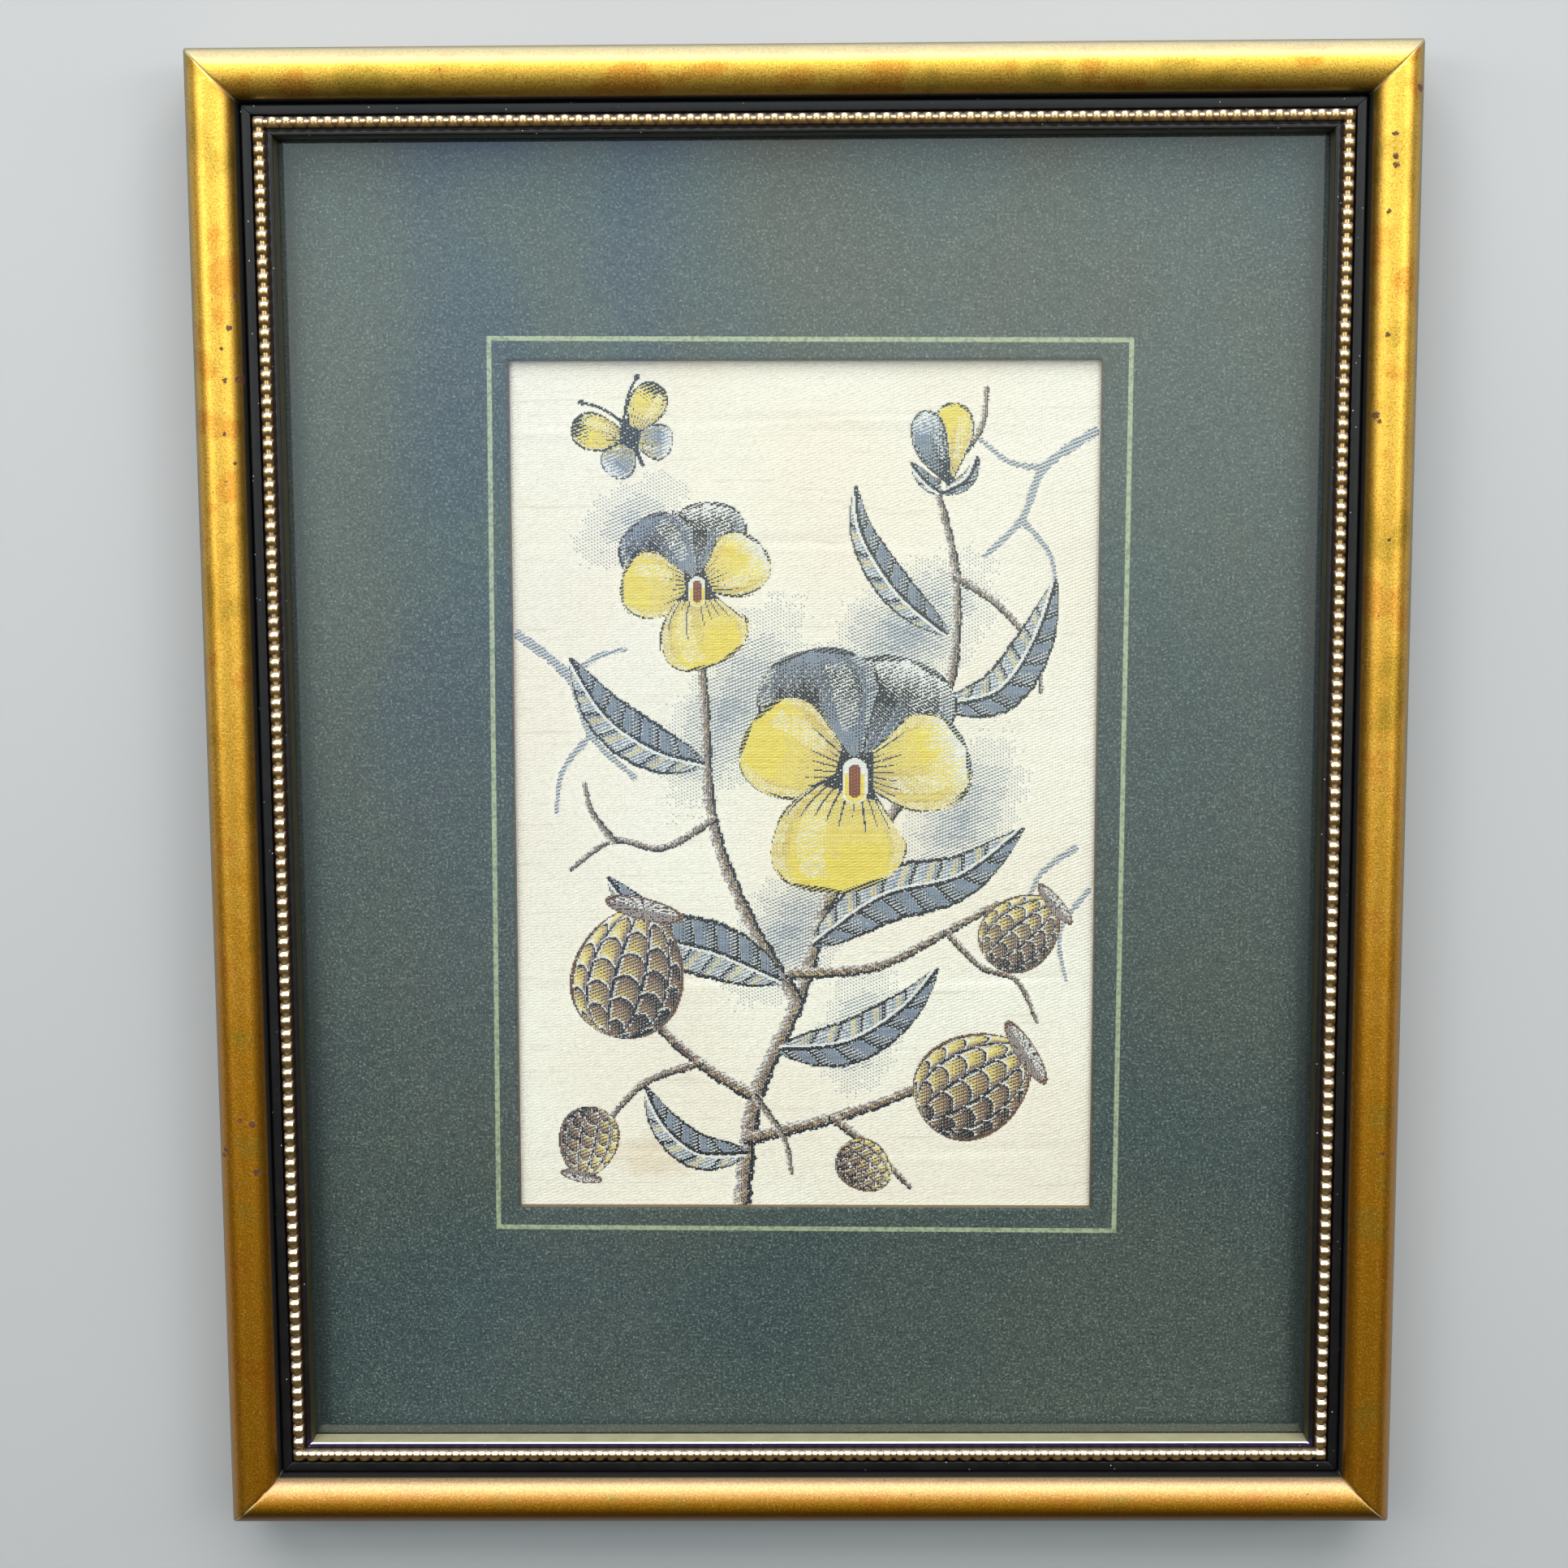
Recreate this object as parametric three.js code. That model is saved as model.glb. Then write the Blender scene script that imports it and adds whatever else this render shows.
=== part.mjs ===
// A small silk weaving in its picture frame, lying face up.
// Millimetres. +Z points out of the picture, +Y to its top edge and +X to its right edge.
// The origin is the middle of the frame, on the flat back of the rails.

import * as THREE from 'three';

// Driving sizes of the frame
const FRAME_WIDTH = 165;
const FRAME_HEIGHT = 205;
const PIECE_GAP = 0.3;
const MITRE_SETBACK = (PIECE_GAP * Math.SQRT2) / 2;
const ARC_STEPS = 5;

// Gold moulding: widths run inwards from the outer edge, heights up from the back
const GOLD_WIDTH = 7.2;
const GOLD_SIDE_HEIGHT = 9.4;
const GOLD_CREST_INSET = 3.4;
const GOLD_CREST_HEIGHT = 14.6;
const GOLD_INNER_HEIGHT = 11.9;

// Black slip, which carries the beaded trim and holds the glass down
const SLIP_START = GOLD_WIDTH + PIECE_GAP;
const SLIP_BAND_WIDTH = 1.4;
const SLIP_BAND_HEIGHT = 11.3;
const SLIP_SEAT_WIDTH = 2.1;
const SLIP_SEAT_HEIGHT = 10.4;
const SLIP_LIP_HEIGHT = 10.9;
const SLIP_EDGE_INSET = 11.7;
const SLIP_ARRIS = 0.25;
const SLIP_SHOULDER = 0.3;

// Beaded trim in the seat of the slip: a half-round strip pinched in between its beads
const BEAD_WIDTH = SLIP_SEAT_WIDTH - 2 * PIECE_GAP;
const BEAD_BASE_HEIGHT = SLIP_SEAT_HEIGHT + PIECE_GAP;
const BEAD_CREST_HEIGHT = 11.9;
const BEAD_MIDDLE = SLIP_START + SLIP_BAND_WIDTH + SLIP_SEAT_WIDTH / 2;
const BEAD_PITCH = 1.85;
const BEAD_NECK_WIDTH_SHARE = 0.72;
const BEAD_NECK_HEIGHT_SHARE = 0.5;
const BEAD_ARC_STEPS = 2;

// What the rebate holds, from the back to the front
const REBATE_PLAY = 0.3;
const SHEET_WIDTH = FRAME_WIDTH - 2 * (SLIP_START + REBATE_PLAY);
const SHEET_HEIGHT = FRAME_HEIGHT - 2 * (SLIP_START + REBATE_PLAY);
const BACKING_BOTTOM = 0.6;
const BACKING_THICKNESS = 1.8;
const SILK_THICKNESS = 1;
const MAT_THICKNESS = 1.2;
const GLASS_THICKNESS = 2;
const SILK_BOTTOM = BACKING_BOTTOM + BACKING_THICKNESS + PIECE_GAP;
const MAT_BOTTOM = SILK_BOTTOM + SILK_THICKNESS + PIECE_GAP;
const GLASS_BOTTOM = MAT_BOTTOM + MAT_THICKNESS + PIECE_GAP;
const GLASS_TOP = GLASS_BOTTOM + GLASS_THICKNESS;
const SLIP_BOTTOM = GLASS_TOP + PIECE_GAP;

// Window of the mat: its edge leans in by a hair, and it sits a little high and a little turned
const WINDOW_WIDTH = 81.6;
const WINDOW_HEIGHT = 119.6;
const WINDOW_LEAN = 0.1;
const WINDOW_OFFSET_X = -0.1;
const WINDOW_OFFSET_Y = 1.5;
const WINDOW_TURN = THREE.MathUtils.degToRad(-0.26);

// Woven silk: it reaches behind the mat on every side and crowns gently in the window
const SILK_MARGIN = 10;
const SILK_WIDTH = WINDOW_WIDTH + 2 * SILK_MARGIN;
const SILK_HEIGHT = WINDOW_HEIGHT + 2 * SILK_MARGIN;
const SILK_CROWN = 0.3;
const SILK_COLUMNS = 12;
const SILK_ROWS = 16;

// Finishes
const GILT = { color: 0xb8892b, roughness: 0.42, metalness: 0.9 };
const BLACK_SATIN = { color: 0x17181c, roughness: 0.38, metalness: 0 };
const BEAD_GILT = { color: 0xc9a860, roughness: 0.35, metalness: 0.9 };
const GLASS = { color: 0xe6eef0, roughness: 0.04, metalness: 0, transparent: true, opacity: 0.2 };
const MAT_GREEN = { color: 0x5f7070, roughness: 0.9, metalness: 0 };
const SILK_CREAM = { color: 0xefe6d2, roughness: 0.6, metalness: 0 };
const BOARD_BROWN = { color: 0x7a5a3c, roughness: 0.85, metalness: 0 };

// The four sides, as turns of the bottom one
const SIDES = [
  { name: 'bottom', turn: 0, length: FRAME_WIDTH, reach: FRAME_HEIGHT / 2 },
  { name: 'right', turn: Math.PI / 2, length: FRAME_HEIGHT, reach: FRAME_WIDTH / 2 },
  { name: 'top', turn: Math.PI, length: FRAME_WIDTH, reach: FRAME_HEIGHT / 2 },
  { name: 'left', turn: -Math.PI / 2, length: FRAME_HEIGHT, reach: FRAME_WIDTH / 2 },
];

function makeMesh(name, geometry, finish) {
  const mesh = new THREE.Mesh(geometry, new THREE.MeshStandardMaterial(finish));
  mesh.name = name;
  return mesh;
}

// A section goes clockwise from its lower outer corner. Its x is the inset and its y the height.

function goldSection() {
  const section = new THREE.Shape();
  const outerRise = GOLD_CREST_HEIGHT - GOLD_SIDE_HEIGHT;
  const innerRise = GOLD_CREST_HEIGHT - GOLD_INNER_HEIGHT;
  const innerRun = GOLD_WIDTH - GOLD_CREST_INSET;
  section.moveTo(0, 0);
  section.lineTo(0, GOLD_SIDE_HEIGHT);
  section.absellipse(
    GOLD_CREST_INSET, GOLD_SIDE_HEIGHT, GOLD_CREST_INSET, outerRise, Math.PI, Math.PI / 2, true,
  );
  section.absellipse(
    GOLD_CREST_INSET, GOLD_INNER_HEIGHT, innerRun, innerRise, Math.PI / 2, 0, true,
  );
  section.lineTo(GOLD_WIDTH, 0);
  return section;
}

function slipSection() {
  const section = new THREE.Shape();
  const seatStart = SLIP_START + SLIP_BAND_WIDTH;
  const seatEnd = seatStart + SLIP_SEAT_WIDTH;
  section.moveTo(SLIP_START, SLIP_BOTTOM);
  section.lineTo(SLIP_START, SLIP_BAND_HEIGHT - SLIP_SHOULDER);
  section.lineTo(SLIP_START + SLIP_SHOULDER, SLIP_BAND_HEIGHT);
  section.lineTo(seatStart, SLIP_BAND_HEIGHT);
  section.lineTo(seatStart, SLIP_SEAT_HEIGHT);
  section.lineTo(seatEnd, SLIP_SEAT_HEIGHT);
  section.lineTo(seatEnd, SLIP_LIP_HEIGHT);
  section.lineTo(SLIP_EDGE_INSET - SLIP_ARRIS, SLIP_LIP_HEIGHT);
  section.lineTo(SLIP_EDGE_INSET, SLIP_LIP_HEIGHT - SLIP_ARRIS);
  section.lineTo(SLIP_EDGE_INSET, SLIP_BOTTOM);
  return section;
}

function beadSection() {
  const section = new THREE.Shape();
  const rise = BEAD_CREST_HEIGHT - BEAD_BASE_HEIGHT;
  section.moveTo(BEAD_MIDDLE - BEAD_WIDTH / 2, BEAD_BASE_HEIGHT);
  section.absellipse(BEAD_MIDDLE, BEAD_BASE_HEIGHT, BEAD_WIDTH / 2, rise, Math.PI, 0, true);
  return section;
}

// How far from the middle of a side a mitred end lies, at an inset from the outer edge.
function mitreAt(length, inset) {
  return length / 2 - inset - MITRE_SETBACK;
}

// Sweeps a section along one side and shears both ends back by the inset, for 45 degree mitres.
function plainBar(section, length) {
  const geometry = new THREE.ExtrudeGeometry(section, {
    depth: length, steps: 1, bevelEnabled: false, curveSegments: ARC_STEPS,
  });
  const position = geometry.getAttribute('position');
  for (let i = 0; i < position.count; i += 1) {
    const inset = position.getX(i);
    const end = position.getZ(i) > length / 2 ? 1 : -1;
    position.setXYZ(i, end * mitreAt(length, inset), inset, position.getY(i));
  }
  geometry.computeVertexNormals();
  return geometry;
}

// As a plain bar, but with two steps to a bead: full at its crown and pinched in at its necks.
function beadedBar(section, length) {
  const innermost = BEAD_MIDDLE + BEAD_WIDTH / 2;
  const span = 2 * mitreAt(length, innermost);
  const beads = Math.round(span / BEAD_PITCH);
  const steps = 2 * beads;
  const geometry = new THREE.ExtrudeGeometry(section, {
    depth: length, steps, bevelEnabled: false, curveSegments: BEAD_ARC_STEPS,
  });
  const position = geometry.getAttribute('position');
  for (let i = 0; i < position.count; i += 1) {
    const station = Math.round((position.getZ(i) / length) * steps);
    const neck = station % 2 === 0;
    const widthShare = neck ? BEAD_NECK_WIDTH_SHARE : 1;
    const heightShare = neck ? BEAD_NECK_HEIGHT_SHARE : 1;
    const inset = BEAD_MIDDLE + (position.getX(i) - BEAD_MIDDLE) * widthShare;
    const height = BEAD_BASE_HEIGHT + (position.getY(i) - BEAD_BASE_HEIGHT) * heightShare;
    let along = span * (station / steps - 0.5);
    if (station === 0 || station === steps) {
      along = Math.sign(along) * mitreAt(length, inset);
    }
    position.setXYZ(i, along, inset, height);
  }
  geometry.computeVertexNormals();
  return geometry;
}

function mitredFrame(prefix, makeBar, section, finish) {
  const frame = new THREE.Group();
  for (const side of SIDES) {
    const bar = makeMesh(`${prefix}_${side.name}`, makeBar(section, side.length), finish);
    bar.rotation.z = side.turn;
    bar.position.set(side.reach * Math.sin(side.turn), -side.reach * Math.cos(side.turn), 0);
    frame.add(bar);
  }
  return frame;
}

function rebateSheet(name, bottom, thickness, finish) {
  const sheet = makeMesh(name, new THREE.BoxGeometry(SHEET_WIDTH, SHEET_HEIGHT, thickness), finish);
  sheet.position.z = bottom + thickness / 2;
  return sheet;
}

function rectangle(path, width, height) {
  path.moveTo(-width / 2, -height / 2);
  path.lineTo(width / 2, -height / 2);
  path.lineTo(width / 2, height / 2);
  path.lineTo(-width / 2, height / 2);
  path.closePath();
  return path;
}

// The board is square to the frame. Its window is moved, turned and narrows a little towards the silk.
function windowMat() {
  const board = rectangle(new THREE.Shape(), SHEET_WIDTH, SHEET_HEIGHT);
  board.holes.push(rectangle(new THREE.Path(), WINDOW_WIDTH, WINDOW_HEIGHT));
  const geometry = new THREE.ExtrudeGeometry(board, { depth: MAT_THICKNESS, bevelEnabled: false });
  const position = geometry.getAttribute('position');
  const cos = Math.cos(WINDOW_TURN);
  const sin = Math.sin(WINDOW_TURN);
  for (let i = 0; i < position.count; i += 1) {
    let x = position.getX(i);
    let y = position.getY(i);
    const z = position.getZ(i);
    const onWindow = Math.abs(x) < (SHEET_WIDTH + WINDOW_WIDTH) / 4;
    if (onWindow) {
      const lean = z < MAT_THICKNESS / 2 ? WINDOW_LEAN : 0;
      x -= Math.sign(x) * lean;
      y -= Math.sign(y) * lean;
      position.setXYZ(i, WINDOW_OFFSET_X + x * cos - y * sin, WINDOW_OFFSET_Y + x * sin + y * cos, z);
    }
  }
  geometry.computeVertexNormals();
  const mat = makeMesh('window_mat', geometry, MAT_GREEN);
  mat.position.z = MAT_BOTTOM;
  return mat;
}

// A thin sheet that stays flat behind the mat and rises softly towards the middle of the window.
function wovenSilk() {
  const geometry = new THREE.BoxGeometry(
    SILK_WIDTH, SILK_HEIGHT, SILK_THICKNESS, SILK_COLUMNS, SILK_ROWS, 1,
  );
  const position = geometry.getAttribute('position');
  for (let i = 0; i < position.count; i += 1) {
    const across = Math.max(0, 1 - Math.abs(position.getX(i)) / (WINDOW_WIDTH / 2));
    const along = Math.max(0, 1 - Math.abs(position.getY(i)) / (WINDOW_HEIGHT / 2));
    const rise = SILK_CROWN * Math.sin((across * Math.PI) / 2) * Math.sin((along * Math.PI) / 2);
    position.setZ(i, position.getZ(i) + rise);
  }
  geometry.computeVertexNormals();
  const silk = makeMesh('woven_silk', geometry, SILK_CREAM);
  silk.rotation.z = WINDOW_TURN;
  silk.position.set(WINDOW_OFFSET_X, WINDOW_OFFSET_Y, SILK_BOTTOM + SILK_THICKNESS / 2);
  return silk;
}

const picture = new THREE.Group();
picture.name = 'framed_woven_silk_picture';
picture.add(mitredFrame('gold_rail', plainBar, goldSection(), GILT));
picture.add(mitredFrame('black_slip', plainBar, slipSection(), BLACK_SATIN));
picture.add(mitredFrame('bead_strip', beadedBar, beadSection(), BEAD_GILT));
picture.add(rebateSheet('glass_pane', GLASS_BOTTOM, GLASS_THICKNESS, GLASS));
picture.add(windowMat());
picture.add(wovenSilk());
picture.add(rebateSheet('backing_board', BACKING_BOTTOM, BACKING_THICKNESS, BOARD_BROWN));

export default picture;
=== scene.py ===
# %% [markdown]
# # A small silk weaving in its gilt frame
#
# The object is a picture about the size of a hand: a flower spray woven in coloured silk, behind glass and a
# grey-green mat, in a gilt moulding with a black inner slip and a string of tiny gilt beads. It lies on its
# back, face up, with +Z out of the picture and +Y to its top edge.
#
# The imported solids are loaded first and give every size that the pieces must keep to. Each piece below takes
# the place of one solid, or keeps the solid and only gives it a finish.

# %% Load the solids and measure them
import math

import bpy
import numpy as np
from mathutils import Matrix, Vector


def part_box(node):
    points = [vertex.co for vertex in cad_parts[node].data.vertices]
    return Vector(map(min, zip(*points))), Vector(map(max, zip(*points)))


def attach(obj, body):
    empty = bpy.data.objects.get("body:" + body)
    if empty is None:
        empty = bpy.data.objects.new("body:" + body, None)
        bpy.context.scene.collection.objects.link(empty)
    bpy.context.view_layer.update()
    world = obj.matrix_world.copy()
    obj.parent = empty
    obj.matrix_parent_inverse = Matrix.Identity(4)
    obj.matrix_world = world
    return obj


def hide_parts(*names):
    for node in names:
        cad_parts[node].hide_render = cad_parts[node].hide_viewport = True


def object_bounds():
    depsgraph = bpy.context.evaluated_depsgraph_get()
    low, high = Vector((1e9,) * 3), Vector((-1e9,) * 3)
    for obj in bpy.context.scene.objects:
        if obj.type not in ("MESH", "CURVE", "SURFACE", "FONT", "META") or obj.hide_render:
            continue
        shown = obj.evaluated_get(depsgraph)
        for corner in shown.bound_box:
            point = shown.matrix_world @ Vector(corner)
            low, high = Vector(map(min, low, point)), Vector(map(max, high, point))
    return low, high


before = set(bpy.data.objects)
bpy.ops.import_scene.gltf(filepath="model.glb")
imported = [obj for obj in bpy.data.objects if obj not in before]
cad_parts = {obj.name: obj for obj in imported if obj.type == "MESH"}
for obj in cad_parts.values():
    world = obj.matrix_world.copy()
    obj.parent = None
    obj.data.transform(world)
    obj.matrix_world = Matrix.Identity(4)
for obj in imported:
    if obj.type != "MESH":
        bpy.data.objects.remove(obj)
cad_low, cad_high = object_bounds()

MM = 0.001
SIDES = ("bottom", "right", "top", "left")
HALF_WIDTH = cad_high.x / MM
HALF_HEIGHT = cad_high.y / MM
rail_low, rail_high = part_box("gold_rail_bottom")
slip_low, slip_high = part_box("black_slip_bottom")
bead_low, bead_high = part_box("bead_strip_bottom")
mat_low, mat_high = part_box("window_mat")
silk_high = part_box("woven_silk")[1]
GOLD_WIDTH = (rail_high.y - rail_low.y) / MM
GOLD_TOP = rail_high.z / MM
SLIP_INSETS = ((slip_low.y - cad_low.y) / MM, (slip_high.y - cad_low.y) / MM)
BEAD_INSET = ((bead_low.y + bead_high.y) / 2 - cad_low.y) / MM
print(f"frame {2 * HALF_WIDTH:.1f} by {2 * HALF_HEIGHT:.1f} mm, moulding {GOLD_WIDTH:.1f} mm wide")

# %% [markdown]
# ## The camera
#
# The photograph is taken from close by, a little above the middle of the picture and looking slightly down,
# so the frame narrows towards its lower edge. Distance, tilt and lens were worked out from the corners of
# the frame, of its inner edge and of the window. The camera is placed in its own frame of reference and
# turned back into the picture's, which is the inverse of turning the picture in front of a fixed camera.

# %% Camera
VIEW_DISTANCE = 340.0
VIEW_TURNS = (6.81, -0.69, 0.24)
VIEW_OFFSET = (3.1, -2.1)
FOCAL_PIXELS = 2946.0
IMAGE_PIXELS = 1932.0
SENSOR = 36.0


def add_object(name, data):
    """A new object in the scene, round a mesh, a lamp or a lens."""
    thing = bpy.data.objects.new(name, data)
    bpy.context.scene.collection.objects.link(thing)
    return thing


def add_camera():
    """A camera whose turns about X, Y and Z are those of the picture in front of it."""
    tilt, yaw, roll = (math.radians(turn) for turn in VIEW_TURNS)
    turned = Matrix.Rotation(roll, 3, "Z") @ Matrix.Rotation(yaw, 3, "Y") @ Matrix.Rotation(tilt, 3, "X")
    back = turned.transposed()
    lens = bpy.data.cameras.new("view")
    lens.sensor_width = SENSOR
    lens.lens = FOCAL_PIXELS / IMAGE_PIXELS * SENSOR
    lens.clip_start, lens.clip_end = 0.01, 20
    camera = add_object("view", lens)
    place = back @ (Vector((-VIEW_OFFSET[0], -VIEW_OFFSET[1], VIEW_DISTANCE)) * MM)
    camera.matrix_world = Matrix.Translation(place) @ back.to_4x4()
    bpy.context.scene.camera = camera
    return camera


camera = add_camera()
stand = [round(c / MM) for c in camera.matrix_world.translation]
print(f"camera at {stand} mm, lens {camera.data.lens:.1f}")

# %% [markdown]
# ## Shader maths as Python
#
# A finish is a small program: where a fleck lies, how worn an edge is. Written as nodes by hand it is long,
# so one class wraps a socket and turns Python's operators into Math nodes, and one method adds any other
# node.

# %% Sockets that add and multiply


class Wire:
    """An output socket of a finish, with Python's operators for its Math nodes."""

    def __init__(self, finish, socket):
        self.finish = finish
        self.socket = socket

    def math(self, operation, *values):
        return self.finish.node("ShaderNodeMath", {"operation": operation}, dict(enumerate(values)))

    def __add__(self, other):
        return self.math("ADD", self, other)

    __radd__ = __add__

    def __sub__(self, other):
        return self.math("SUBTRACT", self, other)

    def __rsub__(self, other):
        return self.math("SUBTRACT", other, self)

    def __mul__(self, other):
        return self.math("MULTIPLY", self, other)

    __rmul__ = __mul__

    def __truediv__(self, other):
        return self.math("DIVIDE", self, other)

    def __pow__(self, other):
        return self.math("POWER", self, other)

    def __abs__(self):
        return self.math("ABSOLUTE", self)

    def high(self, other):
        return self.math("MAXIMUM", self, other)

    def low(self, other):
        return self.math("MINIMUM", self, other)

    def above(self, level):
        return self.math("GREATER_THAN", self, level)

    def wave(self):
        return self.math("SINE", self)

    def ease(self, start, end):
        """0 below start and 1 above end, with a soft step between. With start above end it falls."""
        settings = {"interpolation_type": "SMOOTHSTEP"}
        if start < end:
            return self.finish.node("ShaderNodeMapRange", settings, {0: self, 1: start, 2: end})
        return 1 - self.finish.node("ShaderNodeMapRange", settings, {0: self, 1: end, 2: start})


def srgb(red, green, blue):
    """A colour as the eye reads it, 0 to 255, turned into the linear values that a shader takes."""

    def linear(level):
        share = level / 255
        return share / 12.92 if share <= 0.04045 else ((share + 0.055) / 1.055) ** 2.4

    return (linear(red), linear(green), linear(blue), 1.0)


PATTERN_STEP = (17.3, 41.9, 7.1)


class NodeTree:
    """A tree of nodes being built: node() adds any node, its settings first and then its socket values."""

    def node(self, kind, settings=None, values=None, output=0):
        node = self.tree.nodes.new(kind)
        for key, setting in (settings or {}).items():
            setattr(node, key, setting)
        for key, value in (values or {}).items():
            if isinstance(value, Wire):
                self.tree.links.new(value.socket, node.inputs[key])
            else:
                node.inputs[key].default_value = value
        return Wire(self, node.outputs[output]) if node.outputs else None


class Finish(NodeTree):
    """The node tree of one material."""

    def __init__(self, name):
        self.material = bpy.data.materials.new(name)
        self.material.use_nodes = True
        self.tree = self.material.node_tree
        self.tree.nodes.clear()

    def place(self):
        """The Object coordinates in millimetres, as three numbers and as one vector."""
        metres = self.node("ShaderNodeTexCoord", output="Object")
        scaled = self.node("ShaderNodeVectorMath", {"operation": "SCALE"}, {0: metres, "Scale": 1 / MM})
        axes = [self.node("ShaderNodeSeparateXYZ", values={0: scaled}, output=i) for i in range(3)]
        return (*axes, scaled)

    def looks_up(self):
        """How much a face looks to the top edge, which is up where the picture stands."""
        normal = self.node("ShaderNodeNewGeometry", output="Normal")
        return self.node("ShaderNodeSeparateXYZ", values={0: normal}, output=1)

    def noise(self, vector, scale, detail=2.0, roughness=0.5, seed=0.0):
        """Smooth noise of 0 to 1 with about one blob to 1/scale millimetres."""
        return self.node(
            "ShaderNodeTexNoise", None,
            {"Vector": self.shift(vector, seed), "Scale": scale, "Detail": detail, "Roughness": roughness},
        )

    def cells(self, vector, scale, seed=0.0):
        """Distance to the nearest of many scattered points, about one to 1/scale millimetres."""
        return self.node(
            "ShaderNodeTexVoronoi", None, {"Vector": self.shift(vector, seed), "Scale": scale},
            output="Distance",
        )

    def shift(self, vector, seed):
        """Moves a pattern far off, so that two patterns of one kind don't fall on each other."""
        if not seed:
            return vector
        far = tuple(step * seed for step in PATTERN_STEP)
        return self.node("ShaderNodeVectorMath", {"operation": "ADD"}, {0: vector, 1: far})

    def distance(self, x, y):
        """How far a place is from a spot, seen from above, from its x and y over that spot."""
        flat = self.node("ShaderNodeCombineXYZ", None, {0: x, 1: y})
        return self.node("ShaderNodeVectorMath", {"operation": "LENGTH"}, {0: flat}, output="Value")

    def stretch(self, vector, x=1.0, y=1.0, z=1.0):
        return self.node("ShaderNodeVectorMath", {"operation": "MULTIPLY"}, {0: vector, 1: (x, y, z)})

    def blend(self, share, first, second):
        """first where share is 0 and second where it is 1, for colours."""
        return self.node(
            "ShaderNodeMix", {"data_type": "RGBA"}, {0: share, 6: first, 7: second}, output=2
        )

    def bump(self, height, distance, strength=1.0):
        """Relief from a height of 0 to 1 that stands for a distance in millimetres."""
        return self.node(
            "ShaderNodeBump", None, {"Height": height, "Distance": distance * MM, "Strength": strength}
        )

    def surface(self, **values):
        """Closes the finish with one Principled shader; _ in a name stands for a space."""
        named = {key.replace("_", " "): value for key, value in values.items()}
        shader = self.node("ShaderNodeBsdfPrincipled", None, named)
        self.node("ShaderNodeOutputMaterial", None, {"Surface": shader})
        return self.material


# %% [markdown]
# ## Pieces, sides and mitres
#
# Each of the four sides of a frame is one length of moulding, so each is one mesh: a section swept along the
# side, with both ends cut at 45 degrees. Modelling one side and turning it round the picture keeps the
# corners true, as in a real mitre box. A section is a list of points, each an inset from the outer edge and
# a height above the back.

# %% Helpers for meshes


def add_piece(name, points, faces, materials, replaces=(), slot=None, smooth_below=35.0):
    """A mesh piece in metres from points in millimetres. It rides on the picture's only body."""
    mesh = bpy.data.meshes.new(name)
    mesh.from_pydata([tuple(c * MM for c in point) for point in points], [], faces)
    for material in materials:
        mesh.materials.append(material)
    mesh.validate()
    for face in mesh.polygons:
        face.use_smooth = True
    mesh.set_sharp_from_angle(angle=math.radians(smooth_below))
    piece = add_object(name, mesh)
    settle(piece, replaces)
    return piece


def settle(piece, replaces=()):
    """Says what body a finished piece rides on and which solids it stands for."""
    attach(piece, "root")
    if replaces:
        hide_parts(*replaces)


def side_place(side, along, inset, height):
    """A point of one side of the frame: along it, in from the outer edge and up from the back."""
    if side == "bottom":
        return (along, inset - HALF_HEIGHT, height)
    if side == "top":
        return (-along, HALF_HEIGHT - inset, height)
    if side == "right":
        return (HALF_WIDTH - inset, along, height)
    return (inset - HALF_WIDTH, -along, height)


def half_length(side):
    return HALF_WIDTH if side in ("bottom", "top") else HALF_HEIGHT


def arc(centre, radii, start, end, steps):
    """Points on an ellipse from start to end, in degrees, both included."""
    turns = [math.radians(start + (end - start) * i / steps) for i in range(steps + 1)]
    return [(centre[0] + radii[0] * math.cos(t), centre[1] + radii[1] * math.sin(t)) for t in turns]


def shrink(section, amount):
    """The section with each point moved inwards by amount, for a worn end."""
    moved = []
    count = len(section)
    for i, (x, y) in enumerate(section):
        before, after = section[i - 1], section[(i + 1) % count]
        run, rise = after[0] - before[0], after[1] - before[1]
        length = math.hypot(run, rise) or 1.0
        moved.append((x + rise / length * amount, y - run / length * amount))
    return moved


END_STATIONS = ((0.0, 1.0), (0.1, 0.35), (0.28, 0.0), (0.8, 0.0), (2.5, 0.0), (6.0, 0.0))
MIDDLE_STATIONS = 20
MITRE_GAP = 0.03


def add_moulding(name, side, section, worn, **settings):
    """One mitred length. The section runs clockwise, seen with the inset to the right and height up."""
    half = half_length(side)
    rings = []
    for distance, share in END_STATIONS:
        ring = shrink(section, worn * share)
        rings.append([(distance + MITRE_GAP - half + inset, inset, height) for inset, height in ring])
    first = max(distance for distance, _ in END_STATIONS) + max(inset for inset, _ in section)
    for i in range(1, MIDDLE_STATIONS):
        along = (half - first) * (2 * i / MIDDLE_STATIONS - 1)
        rings.append([(along, inset, height) for inset, height in section])
    for ring in reversed(rings[: len(END_STATIONS)]):
        rings.append([(-along, inset, height) for along, inset, height in ring])
    count = len(section)
    points = [side_place(side, *point) for ring in rings for point in ring]
    faces = [tuple(range(count)), tuple((len(rings) - 1) * count + i for i in reversed(range(count)))]
    for r in range(len(rings) - 1):
        for i in range(count):
            j = (i + 1) % count
            faces.append((r * count + i, (r + 1) * count + i, (r + 1) * count + j, r * count + j))
    return add_piece(name, points, faces, **settings)


# %% [markdown]
# ## Geometry Nodes, written the same way
#
# What repeats, beads and weft floats, comes from Geometry Nodes: one small form is made once and set on many
# points. The same node() method as for a finish adds the nodes. An input gets its value through its socket's
# identifier, and the result is turned into a plain mesh, because instances don't outlive an export.

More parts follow.
